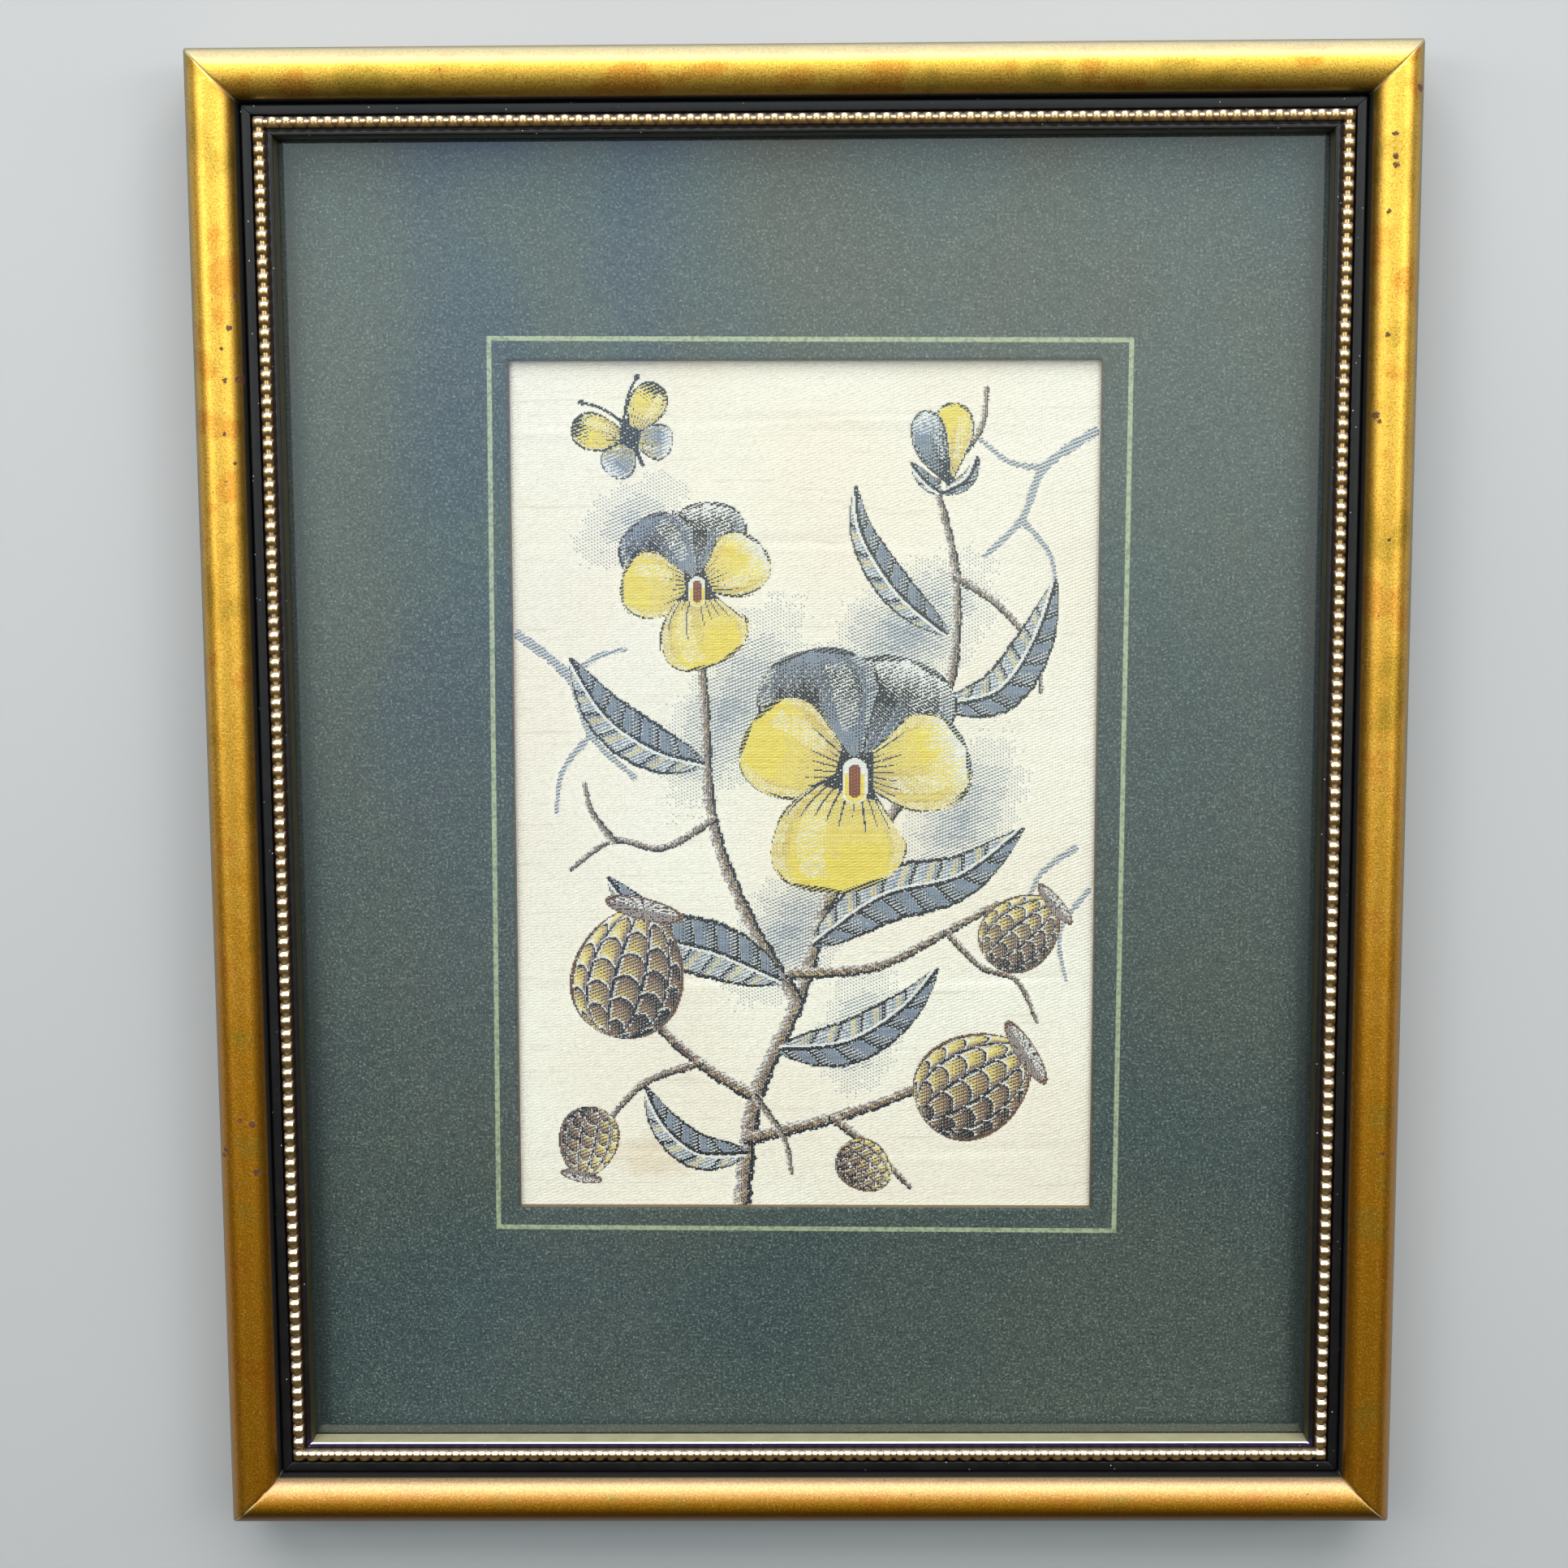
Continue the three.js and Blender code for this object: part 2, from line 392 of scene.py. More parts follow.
# %% A recipe of geometry nodes


class Recipe(NodeTree):
    """A geometry node tree with named inputs, applied to one object and then baked into its mesh."""

    KINDS = {float: "NodeSocketFloat", int: "NodeSocketInt", tuple: "NodeSocketVector"}

    def __init__(self, name, **inputs):
        self.tree = bpy.data.node_groups.new(name, "GeometryNodeTree")
        face = self.tree.interface
        face.new_socket("Geometry", in_out="INPUT", socket_type="NodeSocketGeometry")
        face.new_socket("Geometry", in_out="OUTPUT", socket_type="NodeSocketGeometry")
        self.values = {}
        for key, value in inputs.items():
            socket = face.new_socket(
                key.replace("_", " "), in_out="INPUT", socket_type=self.KINDS[type(value)]
            )
            self.values[socket.identifier] = value
        self.source = self.tree.nodes.new("NodeGroupInput")

    def given(self, key):
        return Wire(self, self.source.outputs[key.replace("_", " ")])

    def finish(self, geometry, material):
        """Ends the tree: real geometry instead of instances, in one material."""
        solid = self.node("GeometryNodeRealizeInstances", None, {0: geometry})
        painted = self.node("GeometryNodeSetMaterial", None, {0: solid, "Material": material})
        self.node("NodeGroupOutput", None, {0: painted})

    def bake(self, piece):
        """Runs the tree on a piece and keeps the result as the piece's own mesh."""
        modifier = piece.modifiers.new(self.tree.name, "NODES")
        modifier.node_group = self.tree
        for identifier, value in self.values.items():
            modifier[identifier] = value
        evaluated = piece.evaluated_get(bpy.context.evaluated_depsgraph_get())
        mesh = bpy.data.meshes.new_from_object(evaluated)
        while mesh.materials and mesh.materials[0] is None:
            mesh.materials.pop(index=0)
        piece.modifiers.remove(modifier)
        piece.data = mesh
        return piece


# %% [markdown]
# ## The gilt moulding
#
# The moulding is wood: a flat outer side and a rounded crown that falls to a lower inner edge. The crown is
# two quarter ellipses that meet at the crest. Gold bronze paint isn't as bright as gold leaf: flakes lie in
# a thin lacquer, so it is a metal with a fine grain and a faint coat. Where the mitres meet, the paint
# has worn to the pale ground, and the crown has small chips down to the dark wood. The slopes that look to
# the top edge are paler, with dust and a painted highlight, and the outer rim is painted duller. Light and
# shade are painted into the colour too: paler towards the top, darker towards the bottom and on faces that
# look down there, darker near the inner edge and low on the outer side, and nearly black in the groove.

# %% Gilt and bare wood
GOLD_SIDE_HEIGHT = 9.4
GOLD_CREST_INSET = 3.4
GOLD_INNER_HEIGHT = 11.9
EDGE_ROUND = 0.25
CROWN_STEPS = 16

# Chips in the crown, by side: distance from the top edge, distance in from the outer edge, radius
CHIPS = {
    "right": (
        (6.9, 1.2, 0.4), (12.9, 4.6, 0.3), (15.8, 4.5, 0.3), (16.9, 4.4, 0.34), (22.9, 5.2, 0.28),
        (39.0, 5.0, 0.26), (49.5, 6.2, 0.42), (50.3, 5.8, 0.24), (66.0, 4.1, 0.2), (150.5, 3.0, 0.24),
    ),
    "left": (
        (32.9, 6.8, 0.3), (37.1, 5.8, 0.3), (39.8, 4.8, 0.22), (43.8, 6.9, 0.5), (44.0, 5.1, 0.26),
        (51.1, 4.9, 0.2), (55.0, 6.0, 0.2), (145.3, 3.8, 0.3), (146.0, 5.5, 0.42), (149.7, 1.7, 0.36),
        (150.5, 1.3, 0.26), (152.9, 5.9, 0.42), (154.0, 2.6, 0.22), (154.7, 3.0, 0.26),
    ),
}


def chip_places():
    """The chips' centres in the picture's plane, each with its radius."""
    places = []
    for side, chips in CHIPS.items():
        sign = 1 if side == "right" else -1
        for down, inset, radius in chips:
            places.append((sign * (HALF_WIDTH - inset), HALF_HEIGHT - down, radius))
    return places


def frame_masks(finish):
    """Position, the inset from the frame's outer edge, and the distance from the nearest mitre line."""
    x, y, z, p = finish.place()
    across = HALF_WIDTH - abs(x)
    down = HALF_HEIGHT - abs(y)
    return x, y, z, p, across.low(down), abs(across - down) / math.sqrt(2)


def paint_gilt():
    f = Finish("gilt_paint")
    x, y, z, p, inset, mitre = frame_masks(f)
    grain = f.noise(p, 4.2, detail=2, roughness=0.6)
    cloud = f.noise(p, 0.13, detail=2, seed=3.1)
    # Painted light: the gilt is paler towards the top edge, mixed with a random cloud of tone.
    paler = (y / 120 + 0.45 + (cloud - 0.5) * 1.3).ease(0.0, 1.0)
    tone = f.blend(paler, srgb(198, 132, 10), srgb(222, 174, 66))
    tone = f.blend(cloud.ease(0.56, 0.66) * 0.45, tone, srgb(196, 104, 8))
    tone = f.blend(cloud.ease(0.44, 0.34) * 0.55, tone, srgb(166, 138, 40))
    tone = f.blend(grain.ease(0.5, 0.34) * 0.42, tone, srgb(112, 76, 12))
    tone = f.blend(grain.ease(0.54, 0.7) * 0.36, tone, srgb(250, 220, 132))
    # The outer rim is painted duller, darker and less metallic towards its very edge.
    outer_dulling = inset.ease(2.0, 0.4) * (0.68 + 0.5 * cloud)
    rim = f.blend(inset.ease(0.8, 0.2), srgb(84, 74, 32), srgb(60, 64, 48))
    tone = f.blend(outer_dulling, tone, f.blend(grain.ease(0.3, 0.8), rim, srgb(124, 112, 60)))
    # Painted shade: darker near the inner edge, where the crown falls towards the slip, and low on the outer
    # side.
    inner_and_low_shade = inset.ease(GOLD_WIDTH - 1.6, GOLD_WIDTH) * 0.8 + z.ease(4.5, 0.5) * 0.5
    tone = f.blend(inner_and_low_shade, tone, srgb(64, 44, 10))
    up = f.looks_up()
    # Painted shade: faces that look down are darker in the lower half.
    tone = f.blend(up.ease(0.1, -0.6) * y.ease(0, -60) * 0.88, tone, srgb(66, 45, 5))
    # Painted shade: the gilt turns a deeper, darker orange towards the bottom, where less light falls.
    tone = f.blend(y.ease(20, -60) * 0.32, tone, srgb(156, 100, 4))
    # Paler on the slopes that look to the top edge: partly settled dust and partly a painted highlight,
    # stronger on the top half.
    dust = up.ease(0.05, 0.7) * inset.ease(0.15, 1.1) * z.ease(10.0, 12.0)
    dust = dust * (0.05 + 0.45 * grain + y.ease(-40, 40) * 0.26)
    tone = f.blend(dust, tone, srgb(228, 222, 190))
    # Painted shadow: nearly black in the narrow gap between the gilt and the slip.
    groove_shade = inset.ease(GOLD_WIDTH - 0.22, GOLD_WIDTH - 0.04)
    tone = f.blend(groove_shade, tone, srgb(12, 9, 7))
    chip = None
    edge = (f.noise(p, 2.8, detail=3, seed=1.3) - 0.5) * 0.9
    for cx, cy, radius in chip_places():
        spot = (f.distance(x - cx, y - cy) + edge).ease(radius * 1.35, radius)
        chip = spot if chip is None else chip.high(spot)
    peppery = f.cells(p, 0.5, seed=4.2) + edge * 0.12
    speck = peppery.ease(0.1, 0.05) * cloud.ease(0.44, 0.6)
    chip = chip.high(speck * 0.8)
    wear_noise = f.noise(p, 0.55, detail=2, seed=9.4)
    worn = mitre.ease(0.16, 0.03) * wear_noise.ease(0.38, 0.6)
    worn = worn.high(inset.ease(0.3, 0.05) * z.ease(7.0, 9.0) * wear_noise.ease(0.56, 0.72) * 0.4)
    tone = f.blend(worn * 0.6, tone, srgb(226, 214, 186))
    tone = f.blend(chip * 0.92, tone, f.blend(grain.ease(0.4, 0.6), srgb(38, 18, 8), srgb(96, 50, 20)))
    dull = chip.high(groove_shade)
    return f.surface(
        Base_Color=tone,
        Metallic=0.92 - (worn * 0.5).high(dust * 0.9).high(outer_dulling * 0.55).high(dull * 0.9),
        Roughness=0.36 + grain * 0.14 + dull * 0.4,
        Coat_Weight=0.15,
        Coat_Roughness=0.26,
        Normal=f.bump(grain, 0.03, 0.7),
    )


def paint_bare_wood():
    f = Finish("bare_wood")
    x, y, z, p, inset, mitre = frame_masks(f)
    rings = f.noise(f.stretch(p, 0.25, 0.25, 1.6), 0.9, detail=3, seed=2.0)
    fibre = f.noise(p, 3.0, detail=4, seed=5.0)
    tone = f.blend(rings.ease(0.35, 0.65), srgb(196, 160, 112), srgb(158, 118, 74))
    tone = f.blend(fibre.ease(0.55, 0.75) * 0.4, tone, srgb(120, 86, 52))
    # Painted shadow: the wood turns nearly black along the gap against the slip.
    joint_shade = inset.ease(GOLD_WIDTH - 0.3, GOLD_WIDTH - 0.1) * z.ease(2.0, 5.0)
    tone = f.blend(joint_shade, tone, srgb(10, 8, 7))
    return f.surface(Base_Color=tone, Roughness=0.8, Normal=f.bump(fibre, 0.05, 0.5))


gilt_paint = paint_gilt()
bare_wood = paint_bare_wood()
print(f"gilt with {len(chip_places())} chips")

# %% Four lengths of gilt moulding


def gold_section():
    rise = GOLD_TOP - GOLD_SIDE_HEIGHT
    fall = GOLD_TOP - GOLD_INNER_HEIGHT
    inner_run = GOLD_WIDTH - GOLD_CREST_INSET
    crest = (GOLD_CREST_INSET, GOLD_SIDE_HEIGHT)
    section = [(EDGE_ROUND, 0.0), (0.0, EDGE_ROUND), (0.0, GOLD_SIDE_HEIGHT * 0.6)]
    section += arc(crest, (GOLD_CREST_INSET, rise), 180, 90, CROWN_STEPS)
    section += arc((GOLD_CREST_INSET, GOLD_INNER_HEIGHT), (inner_run, fall), 90, 8, CROWN_STEPS)[1:]
    section += [(GOLD_WIDTH, GOLD_INNER_HEIGHT - EDGE_ROUND), (GOLD_WIDTH, 6.0), (GOLD_WIDTH, 0.0)]
    return section


def bare_backs(piece):
    """Faces that no brush reaches, under the moulding and in its rebate, show the wood."""
    for face in piece.data.polygons:
        x, y, z = (c / MM for c in face.center)
        inset = min(HALF_WIDTH - abs(x), HALF_HEIGHT - abs(y))
        if face.normal.z < -0.9 or (inset > GOLD_WIDTH - 0.05 and z < GOLD_INNER_HEIGHT - 2):
            face.material_index = 1


for side in SIDES:
    moulding = add_moulding(
        f"gilt_moulding_{side}", side, gold_section(), 0.1,
        materials=[gilt_paint, bare_wood], replaces=[f"gold_rail_{side}"], slot="gilt",
    )
    bare_backs(moulding)
print(f"moulding section of {len(gold_section())} points, {len(moulding.data.polygons)} faces a side")

# %% [markdown]
# ## The black slip
#
# Inside the gilt lies a black lacquered slip: a flat band, a seat for the beads, a thin inner band and a lip
# that drops to the glass. Its sight edge, the face that looks at the mat, shows a dull gold, painted pale
# khaki as painted light on the lower lip, whose arris carries a painted white highlight; a painted violet
# reflection lies on the lower inner band. A slip is so narrow that its edges make most of its look, so each
# arris gets a real rounding of a few tenths of a millimetre, to catch a line of light.

# %% Black lacquer
SLIP_BAND_HEIGHT = slip_high.z / MM
SLIP_BOTTOM = slip_low.z / MM
SEAT_HEIGHT = 10.4
SEAT_INSETS = (SLIP_INSETS[0] + 1.4, SLIP_INSETS[0] + 3.5)
LIP_HEIGHT = 10.9
LIP_ROUND = 0.28


def paint_lacquer():
    f = Finish("black_lacquer")
    x, y, z, p, inset, mitre = frame_masks(f)
    start, end = SLIP_INSETS
    smear = f.noise(p, 0.35, detail=4, seed=1.0)
    dust = f.cells(p, 0.9, seed=2.5).ease(0.09, 0.05) * f.noise(p, 0.2, seed=8.0).ease(0.45, 0.6)
    tone = f.blend(smear.ease(0.35, 0.7), srgb(9, 8, 9), srgb(17, 14, 15))
    seat = inset.ease(SEAT_INSETS[0] - 0.02, SEAT_INSETS[0] + 0.05)
    seat = seat * inset.ease(SEAT_INSETS[1] + 0.03, SEAT_INSETS[1] - 0.05)
    tone = f.blend(seat * 0.85, tone, srgb(40, 20, 12))
    up = f.looks_up()
    # The sight edge is a dull gold, painted dark olive where it faces away from the light and pale khaki where
    # it looks to the top edge, as painted light on the lower lip.
    sight = inset.ease(end - 0.1, end - 0.02) * z.ease(LIP_HEIGHT, LIP_HEIGHT - 0.25)
    sight_lit_and_shaded = f.blend(up.ease(0.5, 0.9), srgb(48, 42, 24), srgb(206, 202, 164))
    tone = f.blend(sight, tone, f.blend(smear * 0.5, sight_lit_and_shaded, srgb(110, 100, 58)))
    # Painted highlight: a white line on the rounded arris of the lower lip, where it looks to the top edge.
    arris = inset.ease(end - LIP_ROUND - 0.06, end - LIP_ROUND + 0.04) * up.ease(0.15, 0.4) * (1 - sight)
    # Painted reflection: a violet band along the lower inner band.
    violet_reflection = inset.ease(SEAT_INSETS[1], SEAT_INSETS[1] + 0.1)
    violet_reflection = violet_reflection * (y + HALF_HEIGHT - end).ease(0.6, 0.2)
    tone = f.blend(violet_reflection * (1 - sight) * 0.8, tone, srgb(40, 30, 72))
    tone = f.blend(arris, tone, srgb(250, 248, 240))
    line = mitre.ease(0.07, 0.02)
    tone = f.blend(line * 0.7, tone, srgb(4, 4, 5))
    tone = f.blend(dust, tone, srgb(200, 198, 194))
    return f.surface(
        Base_Color=tone,
        Metallic=sight * 0.5 + arris * 0.8,
        Roughness=0.3 + smear * 0.16 + dust * 0.4,
        Specular_IOR_Level=0.3,
        Normal=f.bump(f.noise(p, 3.2, detail=2, seed=6.0), 0.01, 0.5),
    )


def slip_section():
    start, end = SLIP_INSETS
    seat_start, seat_end = SEAT_INSETS
    section = [(start, SLIP_BOTTOM), (start, SLIP_BOTTOM + 1.5), (start, SLIP_BAND_HEIGHT - 0.3)]
    section += arc((start + 0.3, SLIP_BAND_HEIGHT - 0.3), (0.3, 0.3), 150, 90, 3)
    section += arc((seat_start - 0.12, SLIP_BAND_HEIGHT - 0.12), (0.12, 0.12), 90, 0, 3)
    section += [(seat_start, SEAT_HEIGHT + 0.1), (seat_start + 0.1, SEAT_HEIGHT)]
    section += [(seat_end - 0.1, SEAT_HEIGHT), (seat_end, SEAT_HEIGHT + 0.1)]
    section += arc((seat_end + 0.1, LIP_HEIGHT - 0.1), (0.1, 0.1), 180, 90, 2)
    section += arc((end - LIP_ROUND, LIP_HEIGHT - LIP_ROUND), (LIP_ROUND, LIP_ROUND), 90, 0, 5)
    section += [(end, SLIP_BOTTOM + 1.2), (end, SLIP_BOTTOM)]
    return section


black_lacquer = paint_lacquer()
for side in SIDES:
    slip = add_moulding(
        f"lacquer_slip_{side}", side, slip_section(), 0.04,
        materials=[black_lacquer], replaces=[f"black_slip_{side}"], slot="black_paint",
    )
print(f"slip from {SLIP_INSETS[0]:.1f} to {SLIP_INSETS[1]:.1f} mm in from the edge")

# %% [markdown]
# ## The string of beads
#
# The trim is a pressed strip that looks like a string of pearls, under two millimetres from bead to bead.
# Each bead is one small barrel that lies across the strip, so light falls on it as a bar. Geometry Nodes set
# it on a line of points. It starts as a ball, and powers below 1 flatten its ends. A round cord below joins
# the beads. Brown toning was rubbed in and wiped off, so it stays low between them and on their tops. The
# same brown is painted on faces that look down as shade, and the ends that look up are painted bright as a
# highlight.

# %% Bead gilt with toning
BEAD_PITCH = 1.85
BEAD_BASE = bead_low.z / MM
BEAD_TOP = bead_high.z / MM
BEAD_WIDTH = (bead_high.y - bead_low.y) / MM


def paint_beads():
    f = Finish("bead_gilt")
    x, y, z, p, inset, mitre = frame_masks(f)
    rub = f.noise(p, 0.9, detail=3, seed=4.0)
    fine = f.noise(p, 5.0, detail=2, seed=2.0)
    tone = f.blend(rub.ease(0.35, 0.65), srgb(150, 122, 66), srgb(182, 146, 92))
    # Painted highlight: bead faces that look to the top edge are painted pale.
    bright = (f.looks_up() + (fine - 0.5) * 0.1).ease(0.08, 0.3)
    tone = f.blend(bright, tone, srgb(255, 240, 214))
    # Brown toning stays low between the beads; faces that look down get the same brown as painted shade.
    level = (z - BEAD_BASE) / (BEAD_TOP - BEAD_BASE) + (rub - 0.5) * 0.3
    brown = level.ease(0.66, 0.3).high(f.looks_up().ease(-0.05, -0.45) * 0.7)
    tone = f.blend(brown * 0.9, tone, srgb(64, 30, 12))
    return f.surface(
        Base_Color=tone,
        Metallic=0.9 - brown * 0.6,
        Roughness=0.26 + fine * 0.1 + brown * 0.3,
        Coat_Weight=0.8,
        Coat_Roughness=0.14,
        Normal=f.bump(fine, 0.008, 0.5),
    )


bead_gilt = paint_beads()
BEAD_ENDS, BEAD_GIRTH = 0.2, 0.5

# %% Beads on a line of points


def bead_recipe(side, material):
    """Beads from the corner that a side starts at, to just before the next side's first bead."""
    reach = half_length(side) - BEAD_INSET
    count = round(2 * reach / BEAD_PITCH)
    step = 2 * reach / count
    start = Vector(side_place(side, -reach, BEAD_INSET, BEAD_BASE))
    ahead = Vector(side_place(side, step - reach, BEAD_INSET, BEAD_BASE)) - start
    recipe = Recipe(
        "beads", Count=count, First_bead=tuple(start * MM), Step=tuple(ahead * MM),
        Half_width=BEAD_WIDTH / 2 * MM, Height=(BEAD_TOP - BEAD_BASE) * MM,
        Half_length=step * 0.52 * MM, Unevenness=0.03,
    )
    line = recipe.node(
        "GeometryNodeMeshLine", {"mode": "OFFSET"},
        {"Count": recipe.given("Count"), "Start Location": recipe.given("First_bead"),
         "Offset": recipe.given("Step")},
    )
    ball = recipe.node("GeometryNodeMeshUVSphere", None, {"Segments": 12, "Rings": 8, "Radius": 1.0})
    ball = recipe.node("GeometryNodeSetShadeSmooth", None, {0: ball})
    along_x = side in ("bottom", "top")
    quarter = (math.pi / 2, 0.0, 0.0) if along_x else (0.0, math.pi / 2, 0.0)
    ball = recipe.node("GeometryNodeTransform", None, {0: ball, "Rotation": quarter})
    place = recipe.node("GeometryNodeInputPosition")
    parts = [recipe.node("ShaderNodeSeparateXYZ", None, {0: place}, output=i) for i in range(3)]
    along, across, up = parts if along_x else (parts[1], parts[0], parts[2])
    girth = (along * along + up * up) ** 0.5
    fuller = girth.high(0.02) ** (BEAD_GIRTH - 1)
    flatter = abs(across) ** BEAD_ENDS * across.math("SIGN", across)
    barrel = recipe.node("ShaderNodeCombineXYZ", None, {
        0: along * fuller if along_x else flatter,
        1: flatter if along_x else along * fuller,
        2: up * fuller,
    })
    ball = recipe.node("GeometryNodeSetPosition", None, {0: ball, "Position": barrel})
    half_width, half_reach, height = (
        recipe.given(key) for key in ("Half_width", "Half_length", "Height")
    )
    shape = recipe.node("ShaderNodeCombineXYZ", None, {
        0: half_reach if along_x else half_width,
        1: half_width if along_x else half_reach,
        2: height,
    })
    swell = recipe.node(
        "FunctionNodeRandomValue", {"data_type": "FLOAT"},
        {2: 1 - recipe.given("Unevenness"), 3: 1 + recipe.given("Unevenness") * 0.5, "Seed": 5}, output=1,
    )
    size = recipe.node("ShaderNodeVectorMath", {"operation": "SCALE"}, {0: shape, "Scale": swell})
    beads = recipe.node("GeometryNodeInstanceOnPoints", None, {0: line, "Instance": ball, "Scale": size})
    joined = recipe.node("GeometryNodeJoinGeometry", None, {0: recipe.given("Geometry")})
    recipe.tree.links.new(beads.socket, joined.socket.node.inputs[0])
    recipe.finish(joined, material)
    return recipe, count


def cord_section():
    """The cord that joins the beads, as a half round a little lower than they are."""
    half = BEAD_WIDTH * 0.46
    crown = arc((BEAD_INSET, BEAD_BASE - 0.15), (half, 0.98), 180, 0, 8)
    return [(BEAD_INSET - half, BEAD_BASE - 0.28), *crown, (BEAD_INSET + half, BEAD_BASE - 0.28)]


bead_total = 0
for side in SIDES:
    strip = add_moulding(f"pearl_strip_{side}", side, cord_section(), 0.02, materials=[bead_gilt])
    recipe, count = bead_recipe(side, bead_gilt)
    recipe.bake(strip)
    settle(strip, [f"bead_strip_{side}"])
    bead_total += count
print(f"{bead_total} beads, {BEAD_WIDTH:.2f} mm wide")


# %% [markdown]
# ## Glass
#
# The pane is a plain sheet, so its solid stays and gets a finish. What is seen of picture glass is only what
# it mirrors: little when it is looked at squarely and more at a slant. The rest of the light goes straight
# through, without bending, so that the silk below stays sharp. Both faces of a real pane mirror. Here the
# upper face does it for both, and the rest is only clear, which looks the same and renders faster.

# %% Clear glass
SQUARE_ON_MIRROR = 0.082
CLEAR = (0.985, 0.995, 0.99, 1.0)


def paint_clear():
    f = Finish("clear_glass")
    f.node("ShaderNodeOutputMaterial", None, {
        "Surface": f.node("ShaderNodeBsdfTransparent", None, {"Color": CLEAR}),
    })
    return f.material


def paint_glass():
    f = Finish("picture_glass")
    clear = f.node("ShaderNodeBsdfTransparent", None, {"Color": CLEAR})
    mirror = f.node("ShaderNodeBsdfGlossy", None, {"Color": (1, 1, 1, 1), "Roughness": 0.06})
    slant = f.node("ShaderNodeLayerWeight", None, {"Blend": 0.5}, output="Facing")
    share = SQUARE_ON_MIRROR + (1 - SQUARE_ON_MIRROR) * slant**5
    f.node("ShaderNodeOutputMaterial", None, {
        "Surface": f.node("ShaderNodeMixShader", None, {0: share, 1: clear, 2: mirror}),
    })
    return f.material


def refinish(node, *materials):
    """Gives a solid that stays its own finish, in place of the plain one that it came with."""
    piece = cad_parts[node]
    piece.data.materials.clear()
    for material in materials:
        piece.data.materials.append(material)
    return piece


pane = refinish("glass_pane", paint_glass(), paint_clear())
for face in pane.data.polygons:
    face.material_index = 0 if face.normal.z > 0.5 else 1

# %% [markdown]
# ## The window mat
#
# The mat is a board covered with flecked grey-green paper. Its window is pressed out rather than cut at a
# slant, so the paper rolls over the edge and only a thin brown line of card shows below it. A pale line is
# ruled outside the window, and neither the window nor the line is quite square to the frame. The board is
# built as loops of points: up the outer edge, in over the face, round the edge, down and back under it.

# %% Board, window and ruled line
WINDOW = {"width": 81.6, "height": 119.6, "x": -0.1, "y": 1.5, "turn": math.radians(-0.26)}
WINDOW_ROUND = 0.42
WINDOW_LEAN = 0.1
RULED = {"width": 88.0, "height": 125.4, "x": 0.3, "y": 1.35, "turn": math.radians(-0.5)}
RULED_WIDTH = 0.66
MAT_TOP = mat_high.z / MM
MAT_SIGHT = (HALF_WIDTH - SLIP_INSETS[1], HALF_HEIGHT - SLIP_INSETS[1])
MAT_MIDDLE = (mat_low.x + mat_high.x) / 2 / MM
MAT_BOTTOM = mat_low.z / MM
LOOP_STEPS = 36


def rectangle_loop(width, height, z, shift=(0.0, 0.0), turn=0.0):
    """Points round a rectangle, counter-clockwise from its lower left corner."""
    corners = [(-1, -1), (1, -1), (1, 1), (-1, 1)]
    points = []
    for k, (x0, y0) in enumerate(corners):
        x1, y1 = corners[(k + 1) % 4]
        for i in range(LOOP_STEPS):
            share = i / LOOP_STEPS
            x = (x0 + (x1 - x0) * share) * width / 2
            y = (y0 + (y1 - y0) * share) * height / 2
            points.append((
                shift[0] + x * math.cos(turn) - y * math.sin(turn),
                shift[1] + x * math.sin(turn) + y * math.cos(turn),
                z,
            ))
    return points


def paint_mat_paper():
    f = Finish("mat_paper")
    x, y, z, p = f.place()
    cloud = f.noise(p, 0.022, detail=1, seed=2.0)
    mottle = f.noise(f.stretch(p, 1.0, 1.4, 1.0), 0.9, detail=2, roughness=0.7, seed=5.0)
    grain = f.noise(p, 3.0, detail=2, roughness=0.7, seed=1.0)
    tone = f.blend(cloud.ease(0.35, 0.65), srgb(51, 66, 67), srgb(64, 72, 67))
    tone = f.blend(mottle.ease(0.5, 0.34) * 0.35, tone, srgb(30, 46, 54))
    tone = f.blend(mottle.ease(0.54, 0.68) * 0.3, tone, srgb(92, 104, 94))
    tone = f.blend(grain.ease(0.46, 0.3) * 0.85, tone, srgb(14, 26, 32))
    tone = f.blend(grain.ease(0.54, 0.68) * 0.75, tone, srgb(122, 136, 130))
    pale = f.cells(p, 1.2, seed=3.0).ease(0.17, 0.06) * mottle.ease(0.42, 0.56)
    tone = f.blend(pale * 0.45, tone, srgb(168, 178, 166))
    # Painted shade: the mat is darker within a few millimetres of the slip, most at its left and right sides.
    shade = (abs(x - MAT_MIDDLE) - MAT_SIGHT[0]).high(abs(y) - MAT_SIGHT[1] - 0.8)
    shade = (shade + (mottle - 0.5) * 0.8).ease(-2.6, -0.6)
    tone = f.blend(shade * 0.62, tone, srgb(22, 34, 36))
    turn = RULED["turn"]
    u = (x - RULED["x"]) * math.cos(turn) + (y - RULED["y"]) * math.sin(turn)
    v = (y - RULED["y"]) * math.cos(turn) - (x - RULED["x"]) * math.sin(turn)
    outside = (abs(u) - RULED["width"] / 2).high(abs(v) - RULED["height"] / 2)
    ink = abs(outside).ease(RULED_WIDTH / 2 + 0.06, RULED_WIDTH / 2 - 0.06)
    ink = ink * (0.45 + 0.4 * f.noise(p, 1.9, detail=1, seed=7.0).ease(0.3, 0.6))
    tone = f.blend(ink, tone, srgb(166, 176, 142))
    return f.surface(
        Base_Color=tone,
        Roughness=0.9,
        Normal=f.bump(grain, 0.01, 0.5),
    )


